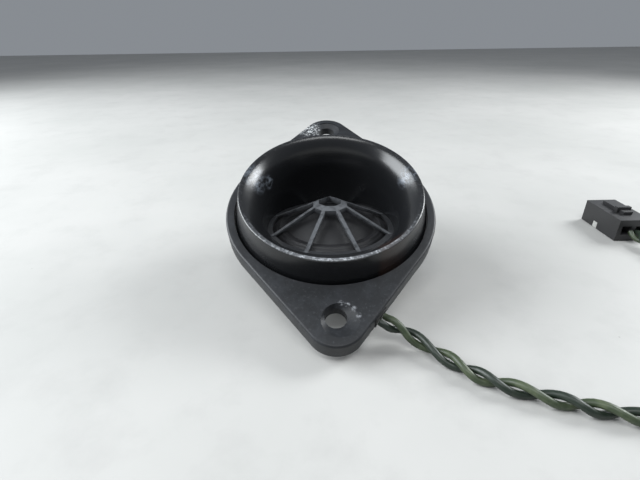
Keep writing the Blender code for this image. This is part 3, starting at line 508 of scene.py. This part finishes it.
def loft(name, rows, material=None, sharp=30.0):
    """Surface through closed rows of points, joined from the last row to the first."""
    size = len(rows[0])
    faces = []
    for i in range(len(rows)):
        j = (i + 1) % len(rows)
        for k in range(size):
            m = (k + 1) % size
            faces.append((i * size + k, j * size + k, j * size + m, i * size + m))
    return piece(name, [p for row in rows for p in row], faces, material, sharp)


def turned(name, profile, material):
    """Closed loop of (radius, height) points turned about the driver's axis."""
    rows = []
    for i in range(ROUND_SEGS):
        a = 2 * math.pi * i / ROUND_SEGS
        rows.append([on_axis(r * math.cos(a), r * math.sin(a), z) for r, z in profile])
    obj = loft(name, rows, material)
    shell = bmesh.new()
    shell.from_mesh(obj.data)
    bmesh.ops.remove_doubles(shell, verts=shell.verts, dist=1e-7)
    shell.to_mesh(obj.data)
    shell.free()
    return obj


def stacked(name, rings, material=None):
    """Solid from a stack of outlines, capped at both ends."""
    count = len(rings[0])
    faces = [tuple(range(count)), tuple((len(rings) - 1) * count + i for i in range(count))]
    for k in range(len(rings) - 1):
        for i in range(count):
            j = (i + 1) % count
            faces.append((k * count + i, k * count + j, (k + 1) * count + j, (k + 1) * count + i))
    return piece(name, [p for ring in rings for p in ring], faces, material)


def combine(obj, tools, operation):
    """Applies exact Booleans, and removes the tools."""
    for tool in tools:
        step = obj.modifiers.new("cut", "BOOLEAN")
        step.operation = operation
        step.solver = "EXACT"
        step.object = tool
    graph = bpy.context.evaluated_depsgraph_get()
    result = bpy.data.meshes.new_from_object(obj.evaluated_get(graph))
    obj.modifiers.clear()
    obj.data = result
    for tool in tools:
        bpy.data.objects.remove(tool, do_unlink=True)
    shade_round(obj)
    return obj


def bevel(obj, width, angle=35.0):
    """Rounds the sharp edges, with the modifier applied."""
    step = obj.modifiers.new("bevel", "BEVEL")
    step.width = width * MM
    step.segments = 2
    step.limit_method = "ANGLE"
    step.angle_limit = math.radians(angle)
    step.harden_normals = True
    graph = bpy.context.evaluated_depsgraph_get()
    result = bpy.data.meshes.new_from_object(obj.evaluated_get(graph))
    obj.modifiers.clear()
    obj.data = result
    return obj


def mark_painted_highlight(obj, amount):
    """Stores how much painted highlight each point gets, from a function of its place in millimetres."""
    layer = obj.data.attributes.new("painted_highlight", "FLOAT", "POINT")
    for vertex, value in zip(obj.data.vertices, layer.data):
        value.value = amount(vertex.co / MM)


def bezier(p0, p1, p2, p3, t):
    u = 1 - t
    return p0 * u**3 + p1 * 3 * u * u * t + p2 * 3 * u * t * t + p3 * t**3


def smooth_path(points, steps):
    """Catmull-Rom curve through the points."""
    path = [Vector(p) for p in points]
    ends = [path[0] * 2 - path[1], *path, path[-1] * 2 - path[-2]]
    out = []
    for a, b, c, d in zip(ends, ends[1:], ends[2:], ends[3:]):
        for k in range(steps):
            t = k / steps
            bend = (2 * a - 5 * b + 4 * c - d) * t + (3 * b - a - 3 * c + d) * t * t
            out.append(b + 0.5 * t * ((c - a) + bend))
    out.append(path[-1])
    return out


def put(obj, body, slot, *nodes):
    """Lets a piece ride on a body, in place of the CAD's nodes. The slot argument is not used."""
    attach(obj, body)
    if nodes:
        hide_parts(*nodes)
    return obj


# ---------------------------------------------------------------- camera and lead


def make_camera():
    right, up, forward = Vector(CAMERA_RIGHT), Vector(CAMERA_UP), Vector(CAMERA_FORWARD)
    data = bpy.data.cameras.new("camera")
    data.lens = LENS
    data.sensor_width = 36.0
    data.clip_start = 0.005
    camera = bpy.data.objects.new("camera", data)
    bpy.context.scene.collection.objects.link(camera)
    place = Matrix((right, up, -forward)).transposed().to_4x4()
    place.translation = on_axis(*CAMERA_AT) * MM
    camera.matrix_world = place
    bpy.context.scene.camera = camera


def ear_lean(ear_y):
    return math.asin((FLANGE_R - EAR_R) / ear_y)


def edge_point(out_by, along_by, z):
    """Point beside the flange's straight edge that the lead leaves through."""
    lean = ear_lean(FRONT_EAR_Y)
    out = Vector((math.cos(lean), -math.sin(lean)))
    along = Vector((math.sin(lean), math.cos(lean)))
    spot = out * (FLANGE_R + out_by) + along * (EXIT_ALONG + along_by)
    return from_flange(spot.x, spot.y, z)


def lead_route():
    start = edge_point(EXIT_OUT, 0.0, EXIT_Z)
    drop = start.z - LEAD_LOW
    return [Vector((start.x + dx, start.y + dy, LEAD_LOW + drop * share)) for dx, dy, share in LEAD_RUN]


def evenly(path, step):
    """Points a step apart along a path, with both of its ends."""
    lengths = [(b - a).length for a, b in zip(path, path[1:])]
    total = sum(lengths)
    count = max(2, round(total / step))
    out, index, walked = [], 0, 0.0
    for k in range(count + 1):
        target = min(total * k / count, total - 1e-9)
        while walked + lengths[index] < target:
            walked += lengths[index]
            index += 1
        out.append(path[index].lerp(path[index + 1], (target - walked) / lengths[index]))
    return out, total


def strand_rings(path, length, side):
    """Rings of one wire of the pair, which winds round the route."""
    rings = []
    count = len(path)
    lean = ear_lean(FRONT_EAR_Y)
    side_way = Vector((math.sin(lean), math.cos(lean) * math.cos(TILT), math.cos(lean) * math.sin(TILT)))
    centres = []
    frame_side = side_way
    for i, p in enumerate(path):
        along = (path[min(i + 1, count - 1)] - path[max(i - 1, 0)]).normalized()
        frame_side = (frame_side - along * frame_side.dot(along)).normalized()
        other = along.cross(frame_side)
        s = length * i / (count - 1)
        # the turning isn't quite even, and the distance between the wires changes a little
        swing = 0.2 * math.sin(s * 0.31) + 0.15 * math.sin(s * 0.17 + 1.0)
        turn = 2 * math.pi * max(0.0, s - TWIST_AFTER) / TWIST_PITCH + swing * min(1.0, s / TWIST_EASE)
        reach = STRAND_OFFSET * (1 + 0.07 * math.sin(s * 0.53 + side))
        reach = min(reach, max(0.0, p.z - STRAND_R)) if p.z < LEAD_LOW + 0.3 else reach
        centres.append(p + side * reach * (math.cos(turn) * frame_side + math.sin(turn) * other))
    hoop = None
    for i, p in enumerate(centres):
        along = (centres[min(i + 1, count - 1)] - centres[max(i - 1, 0)]).normalized()
        hoop = along.orthogonal() if hoop is None else hoop
        hoop = (hoop - along * hoop.dot(along)).normalized()
        other = along.cross(hoop)
        ring = []
        for k in range(STRAND_SEGS):
            a = 2 * math.pi * k / STRAND_SEGS
            ring.append(p + STRAND_R * (math.cos(a) * hoop + math.sin(a) * other))
        rings.append(ring)
    return rings


def make_lead():
    """Both wires as one mesh, with a material each."""
    path, length = evenly(smooth_path(lead_route(), 8), STRAND_STEP)
    points, faces, which = [], [], []
    for side in (-1, 1):
        rings = strand_rings(path, length, side)
        first = len(points)
        count = len(rings)
        points += [p for ring in rings for p in ring]
        faces.append(tuple(first + k for k in range(STRAND_SEGS)))
        faces.append(tuple(first + (count - 1) * STRAND_SEGS + k for k in range(STRAND_SEGS)))
        for i in range(count - 1):
            for k in range(STRAND_SEGS):
                m = (k + 1) % STRAND_SEGS
                low, high = first + i * STRAND_SEGS, first + (i + 1) * STRAND_SEGS
                faces.append((low + k, low + m, high + m, high + k))
        which += [0 if side < 0 else 1] * (2 + (count - 1) * STRAND_SEGS)
    lead = piece("twisted_lead", points, faces, insulation("wire_dark", *DARK_WIRE), 60)
    lead.data.materials.append(insulation("wire_olive", *OLIVE_WIRE))
    for face, index in zip(lead.data.polygons, which):
        face.material_index = index
    put(lead, "housing", "wire_green", "lead_cord")


# ---------------------------------------------------------------- bell


def throat_radius(a):
    """The throat widens toward the front."""
    return THROAT_R + THROAT_SWELL * max(0.0, -math.sin(a)) ** 1.3


def bell_row(a):
    """Section of the bell at one angle: up the horn, over the lip, down the wall and back underneath."""
    ca, sa = math.cos(a), math.sin(a)
    front = max(0.0, -sa) ** 2

    def tilted(r, z):
        return from_flange(r * ca, r * sa, z)

    def ring_point(r, z):
        return on_axis(r * ca, r * sa, z)

    lip = (
        (RIM_R - LIP, RIM_H - 0.03),
        (RIM_R - LIP / 2, RIM_H),
        (RIM_R + 0.1, RIM_H),
        (WALL_TOP_R - 0.17, RIM_H - 0.08),
        (WALL_TOP_R - 0.04, RIM_H - 0.22),
        (WALL_TOP_R, RIM_H - 0.5),
    )
    edge_r = throat_radius(a)
    throat = ring_point(edge_r, THROAT_Z)
    mouth = tilted(*lip[0])
    flare = (tilted(lip[0][0] + 0.87, lip[0][1] + 0.5) - mouth).normalized()
    rise, reach = mouth.z - throat.z, (mouth - throat).length
    up = Vector((0.12 * ca, 0.12 * sa, 0.99))
    p1 = (throat + up * min(0.36 * reach, 0.48 * rise)).lerp(throat.lerp(mouth, 1 / 3), front)
    p2 = (mouth - flare * min(5.2, 0.42 * reach)).lerp(throat.lerp(mouth, 2 / 3), front)
    inner = [bezier(throat, p1, p2, mouth, k / BELL_STEPS) for k in range(BELL_STEPS)]
    foot = ring_point(edge_r + BELL_T, SHELF_Z + 0.05)
    corner = tilted(WALL_BASE_R - BELL_T, RIM_H - 1.9)
    q1 = (foot + up * min(0.34 * reach, 0.30 * rise)).lerp(foot.lerp(corner, 1 / 3), front)
    q2 = (corner - flare * min(3.4, 0.3 * reach)).lerp(foot.lerp(corner, 2 / 3), front)
    back = [bezier(corner, q2, q1, foot, k / 8) for k in range(9)]
    # a bead near the foot of the wall keeps light out of the gap round the bell
    wall = [
        tilted(WALL_BASE_R - 0.1, 0.3),
        tilted(WALL_BASE_R, -0.6),
        tilted(WALL_BASE_R + 0.1, -1.0),
        tilted(WALL_BASE_R + BEAD_OUT, -1.2),
        tilted(WALL_BASE_R + BEAD_OUT, -1.6),
        tilted(WALL_BASE_R, -2.0),
        tilted(WALL_BASE_R, -SKIRT_DEPTH),
        tilted(WALL_BASE_R - BELL_T, -SKIRT_DEPTH),
    ]
    return inner + [tilted(r, z) for r, z in lip] + wall + back + [ring_point(edge_r, SHELF_Z + 0.05)]


def make_bell():
    rows = [bell_row(2 * math.pi * i / BELL_SEGS) for i in range(BELL_SEGS)]
    bell = loft("horn_bell_shell", rows, bell_plastic(), 50.0)
    lip_front = from_flange(0.0, -RIM_R, RIM_H)

    def lip_highlight(p):
        """Share of painted highlight on the top of the rim: full at the front, and faint on the rest of it.
        """
        local_z = (p.z - PIVOT_Z) * math.cos(TILT) - (p.y - AXIS_Y) * math.sin(TILT) - PIVOT_DROP
        if local_z < RIM_H - 0.12:
            return 0.0
        front = max(0.0, 1 - (p.y - lip_front.y) / 14)
        return 0.05 + 0.95 * min(1.0, front) ** 1.5

    # painted highlight on the top of the rim
    mark_painted_highlight(bell, lip_highlight)
    put(bell, "housing", "satin_plastic", "horn_bell")
    # socket that holds the driver, with the shelf over the guard
    collar = turned(
        "horn_bell_socket",
        [
            (SOCKET_R, COLLAR_LOW),
            (COLLAR_R, COLLAR_LOW),
            (COLLAR_R, THROAT_Z - 0.05),
            (SHELF_R, THROAT_Z - 0.05),
            (SHELF_R, SHELF_Z),
            (SOCKET_R, SHELF_Z),
        ],
        bell_plastic(),
    )
    put(collar, "housing", "satin_plastic")


# ---------------------------------------------------------------- guard


def guard_top(r):
    return GUARD_TOP + SPOKE_RISE * (SPOKE_FOOT_R - r)


def make_guard():
    ring = turned(
        "spoked_guard",
        [(GUARD_IN_R, GUARD_LOW), (GUARD_R, GUARD_LOW), (GUARD_R, GUARD_TOP), (GUARD_IN_R, GUARD_TOP)],
        guard_plastic(),
    )
    angles = [math.radians(-90 + (k + 0.5) * 360 / SPOKES) for k in range(SPOKES)]
    tools = []
    for a in angles:
        c, s = math.cos(a), math.sin(a)
        start, end = HUB_R - 0.55, throat_radius(a) - 0.1
        side_view = (
            (start, guard_top(start) - 0.12),
            (start, guard_top(start) - SPOKE_D),
            (GUARD_IN_R + 0.4, GUARD_TOP - SPOKE_FOOT_H),
            (end, GUARD_TOP - SPOKE_FOOT_H),
            (end, GUARD_TOP + TONGUE),
            (SPOKE_FOOT_R - TONGUE / SPOKE_RISE, GUARD_TOP + TONGUE),
            (HUB_R, guard_top(HUB_R)),
        )
        rings = []
        for across in (-SPOKE_W / 2, SPOKE_W / 2):
            rings.append([on_axis(c * r - s * across, s * r + c * across, z) for r, z in side_view])
        tools.append(stacked("spoke", rings))
    top = guard_top(HUB_R) + 0.06
    hole_top = guard_top(HUB_HOLE_R) + 0.02
    outline = [(math.cos(a), math.sin(a)) for a in angles]
    outline.insert(SPOKES // 2, (0.0, 1.0 + HUB_TIP / HUB_R))
    levels = (
        (HUB_R, top - HUB_T),
        (HUB_R, top),
        (HUB_HOLE_R, hole_top),
        (HUB_HOLE_R, hole_top - HUB_T - 0.2),
    )
    tools.append(loft("hub", [[on_axis(x * r, y * r, z) for r, z in levels] for x, y in outline]))
    guard = combine(ring, tools, "UNION")
    bevel(guard, 0.09)

    # painted highlight: full on the upper faces of the spokes and hub, faint elsewhere
    def top_face_highlight(p):
        r = Vector((p.x, p.y - AXIS_Y)).length
        return 1.0 if r < SPOKE_FOOT_R and p.z > guard_top(r) - 0.14 else 0.15

    mark_painted_highlight(guard, top_face_highlight)
    put(guard, "housing", "satin_plastic", "spider_guard")


# ---------------------------------------------------------------- dome and surround


def make_dome():
    cloth = coated_cloth("dome_cloth", (0.011, 0.011, 0.012))
    former_r = DOME_R - FORMER_INSET
    height = DOME_TOP - DOME_Z - SKIN
    sphere = (former_r**2 + height**2) / (2 * height)
    outer = []
    steps = 16
    for i in range(steps + 1):
        r = former_r * (1 - i / steps)
        outer.append((r, DOME_Z + SKIN + height - sphere + math.sqrt(sphere**2 - r * r)))
    inner = [(r, z - SKIN) for r, z in reversed(outer)]
    profile = [(DOME_R, DOME_Z + SKIN), *outer, *inner, (DOME_R, DOME_Z)]
    dome = turned("dome_cap", profile, cloth)
    put(dome, "moving_assembly", "coated_cloth", "dome")


def make_surround():
    """Roll with fine ribs, from the dome's edge down to the mounting ring."""
    cloth = coated_cloth("surround_cloth", (0.009, 0.009, 0.01))
    roll_in = DOME_R + ROLL_GAP
    roll_out = SURROUND_R - ROLL_FLAT
    lower = [(DOME_R + 0.05, DOME_Z)]
    steps = 18
    for i in range(steps + 1):
        t = i / steps
        rib = RIB_H * math.sin(2 * math.pi * RIBS * t) * math.sin(math.pi * t)
        height = DOME_Z - ROLL_DROP * t * t + ROLL_H * math.sin(math.pi * t) + rib
        lower.append((roll_in + (roll_out - roll_in) * t, height))
    lower.append((SURROUND_R, FLAT_Z))
    upper = [(r, z + SKIN) for r, z in reversed(lower)]
    surround = turned("surround_roll", lower + upper, cloth)
    put(surround, "housing", "coated_cloth", "surround")


# ---------------------------------------------------------------- flange


def eared_outline(inset):
    """Flange circle and both ears, with the straight edges between them."""
    front, rear = ear_lean(FRONT_EAR_Y), ear_lean(REAR_EAR_Y)
    big, small = FLANGE_R - inset, EAR_R - inset
    spans = (
        (-front, rear, big, 0.0),
        (rear, math.pi - rear, small, REAR_EAR_Y),
        (math.pi - rear, math.pi + front, big, 0.0),
        (math.pi + front, 2 * math.pi - front, small, -FRONT_EAR_Y),
    )
    points = []
    for start, stop, radius, y in spans:
        for i in range(FLANGE_ARC):
            a = start + (stop - start) * i / (FLANGE_ARC - 1)
            points.append((radius * math.cos(a), y + radius * math.sin(a)))
    return points


def flange_rings(insets_and_heights):
    rings = []
    for inset, z in insets_and_heights:
        rings.append([from_flange(x, y, z) for x, y in eared_outline(inset)])
    return rings


def flange_disc(name, radius, low, high, y=0.0, segs=ROUND_SEGS):
    rings = []
    for z in (low, high):
        turns = [2 * math.pi * i / segs for i in range(segs)]
        rings.append([from_flange(radius * math.cos(a), y + radius * math.sin(a), z) for a in turns])
    return stacked(name, rings)


def screw_hole(hole_y, shift):
    """Cutter of a screw hole, with its countersink shifted."""
    levels = (
        (-CUTTER, SCREW_HOLE_R, (0.0, 0.0)),
        (-SINK_D, SCREW_HOLE_R, (0.0, 0.0)),
        (-SINK_STEP, SINK_R, shift),
        (3.0, SINK_R, shift),
    )
    rings = []
    for z, radius, (dx, dy) in levels:
        ring = []
        for i in range(HOLE_SEGS):
            a = 2 * math.pi * i / HOLE_SEGS
            ring.append(from_flange(dx + radius * math.cos(a), hole_y + dy + radius * math.sin(a), z))
        rings.append(ring)
    return stacked("hole", rings)


def flange_box(low, high):
    corners = ((low[0], low[1]), (high[0], low[1]), (high[0], high[1]), (low[0], high[1]))
    return stacked("box", [[from_flange(x, y, z) for x, y in corners] for z in (low[2], high[2])])


def ear_cutters(side, hole_y, shift):
    """Hollow under an ear, round its screw hole's boss, the notch for the bell's tab, and the screw hole."""
    hollow = stacked("hollow", flange_rings([(HOLLOW_WALL, -FLANGE_T - 1), (HOLLOW_WALL, -PLATE_T)]))
    half_low, half_high = sorted((-side * 2 * REAR_EAR_Y, side * 3.0))
    keep = [
        flange_disc("ring", OPENING_R + HOLLOW_WALL, -CUTTER, CUTTER),
        flange_box((-2 * FLANGE_R, half_low, -CUTTER), (2 * FLANGE_R, half_high, CUTTER)),
        flange_disc("boss", SCREW_HOLE_R + BOSS_T, -PLATE_T - 1.0, CUTTER, hole_y, HOLE_SEGS),
    ]
    near, far = sorted((side * (OPENING_R - 1.5), side * (WALL_BASE_R + 4.85)))
    return [
        combine(hollow, keep, "DIFFERENCE"),
        flange_box((-TAB_NOTCH_HALF, near, -CUTTER), (TAB_NOTCH_HALF, far, -PLATE_T)),
        screw_hole(hole_y, shift),
    ]


def exit_cutter():
    """Notch for the grommet, in the straight edge that the lead leaves through."""
    corners = [
        edge_point(-EXIT_NOTCH_IN, -EXIT_NOTCH_HALF, 0.0),
        edge_point(-EXIT_NOTCH_IN, EXIT_NOTCH_HALF, 0.0),
        edge_point(3.0, EXIT_NOTCH_HALF, 0.0),
        edge_point(3.0, -EXIT_NOTCH_HALF, 0.0),
    ]
    down = from_flange(0, 0, -CUTTER) - from_flange(0, 0, 0)
    top = from_flange(0, 0, EXIT_NOTCH_TOP) - from_flange(0, 0, 0)
    return stacked("notch", [[p + down for p in corners], [p + top for p in corners]])


def make_flange():
    profile = [(0.0, -FLANGE_T)]
    for i in range(EDGE_STEPS + 1):
        a = math.pi / 2 * i / EDGE_STEPS
        profile.append((EDGE_R * (1 - math.cos(a)), -EDGE_R * (1 - math.sin(a))))
    flange = stacked("eared_flange", flange_rings(profile), flange_plastic())
    tools = [flange_disc("opening", OPENING_R, -CUTTER, CUTTER)]
    tools += ear_cutters(-1, -FRONT_HOLE_Y, FRONT_SINK_SHIFT)
    tools += ear_cutters(1, REAR_HOLE_Y, (0.0, 0.0))
    tools.append(exit_cutter())
    combine(flange, tools, "DIFFERENCE")
    bevel(flange, 0.12, 50.0)
    put(flange, "housing", "charcoal_plastic", "mounting_flange")


# ---------------------------------------------------------------- other pieces keep their CAD shapes


def finish_cad_nodes():
    """Gives the CAD nodes that are kept their finishes."""
    dark = moulded("dark_moulding", (0.02, 0.02, 0.022), 0.48)
    steel = plated("zinc_steel", (0.5, 0.5, 0.48), 0.34)
    tin = plated("tin_plate", (0.68, 0.68, 0.66), 0.3)
    screw = plated("screw_steel", (0.3, 0.3, 0.31), 0.36)
    finishes = {
        "voice_coil_former": moulded("amber_film", (0.5, 0.27, 0.08), 0.35, 900),
        "voice_coil_winding": wound_copper("copper_winding", (0.62, 0.27, 0.1)),
        "diaphragm_ring": dark,
        "gasket_ring": fibrous("black_foam", (0.02, 0.02, 0.02), 3000),
        "damping_felt": fibrous("grey_felt", (0.09, 0.09, 0.1)),
        "pole_plate": steel,
        "yoke_cup": steel,
        "magnet_disc": plated("nickel_plate", (0.62, 0.6, 0.56), 0.22),
        "rear_cover": dark,
        "terminal_board": moulded("brown_laminate", (0.24, 0.13, 0.05), 0.6, 1200),
        "terminal_negative": tin,
        "terminal_positive": tin,
        "series_capacitor": moulded("capacitor_sleeve", (0.03, 0.06, 0.16), 0.32, 900),
        "capacitor_lead_front": tin,
        "capacitor_lead_rear": tin,
        "coil_lead_positive": wound_copper("copper_litz_positive", (0.6, 0.26, 0.1)),
        "coil_lead_negative": wound_copper("copper_litz_negative", (0.6, 0.26, 0.1)),
        "strain_relief": moulded("black_rubber", (0.012, 0.012, 0.012), 0.7, 1500),
        "lead_core_negative": insulation("core_dark", *DARK_WIRE),
        "lead_core_positive": insulation("core_olive", *OLIVE_WIRE),
        "plug_housing": moulded("plug_moulding", (0.018, 0.018, 0.019), 0.42),
        "plug_contact_1": tin,
        "plug_contact_2": tin,
        "plug_lock": moulded("plug_lock_moulding", (0.4, 0.4, 0.38), 0.5),
    }
    covers = [f"cover_screw_{k}" for k in (1, 2, 3)]
    for name in (*covers, "flange_screw_front", "flange_screw_rear"):
        finishes[name] = screw
    for name, material in finishes.items():
        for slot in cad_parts[name].material_slots:
            slot.material = material


# ---------------------------------------------------------------- studio


def make_floor():
    """Pale table with faint mottling, grain and a few specks."""
    paint = Paint("pale_table", (0.4, 0.4, 0.385), 0.0, 0.6, 0.3)
    paint.tint(paint.spread(paint.noise(9, 5.0, 0.6), 0.35, 0.7), (0.46, 0.455, 0.44))
    paint.tint(paint.spread(paint.noise(60, 5.0, 0.65), 0.5, 0.8, 0.0, 0.5), (0.35, 0.345, 0.335))
    paint.tint(paint.spread(paint.cells(70), 0.0, 0.018, 0.75, 0.0), (0.16, 0.15, 0.14))
    paint.bump(paint.noise(500, 4.0), 0.05, 0.3)
    half = TABLE_HALF * MM
    mesh = bpy.data.meshes.new("table")
    corners = [(-half, -half, 0.0), (half, -half, 0.0), (half, half, 0.0), (-half, half, 0.0)]
    mesh.from_pydata(corners, [], [(0, 1, 2, 3)])
    floor = bpy.data.objects.new("table", mesh)
    bpy.context.scene.collection.objects.link(floor)
    mesh.materials.append(paint.material)


def soft_light(name, place, aim, size, watts, color):
    """Rectangular light, with its places and sizes in metres."""
    data = bpy.data.lights.new(name, "AREA")
    data.shape = "RECTANGLE"
    data.size, data.size_y = size
    data.energy = watts
    data.color = color
    light = bpy.data.objects.new(name, data)
    bpy.context.scene.collection.objects.link(light)
    light.location = place
    light.rotation_euler = (Vector(aim) - Vector(place)).to_track_quat("-Z", "Y").to_euler()


def make_studio():
    make_floor()
    world = bpy.data.worlds.new("room")
    bpy.context.scene.world = world
    world.use_nodes = True
    back = world.node_tree.nodes["Background"]
    back.inputs["Color"].default_value = (0.82, 0.88, 0.96, 1.0)
    back.inputs["Strength"].default_value = 0.3
    soft_light("window", (-0.5, 0.05, 0.3), (0, 0, 0.01), (0.5, 0.42), 6.6, (0.93, 0.97, 1.0))
    soft_light("ceiling", (0.0, -0.38, 0.8), (0, 0, 0), (0.55, 0.3), 3.2, (0.97, 0.99, 1.0))
    soft_light("side", (0.45, 0.16, 0.3), (0, 0, 0.02), (0.22, 0.26), 3.0, (0.95, 0.98, 1.0))
    bpy.context.scene.view_settings.view_transform = "Standard"


make_camera()
make_lead()
make_bell()
make_guard()
make_dome()
make_surround()
make_flange()
finish_cad_nodes()
make_studio()

bpy.context.view_layer.update()
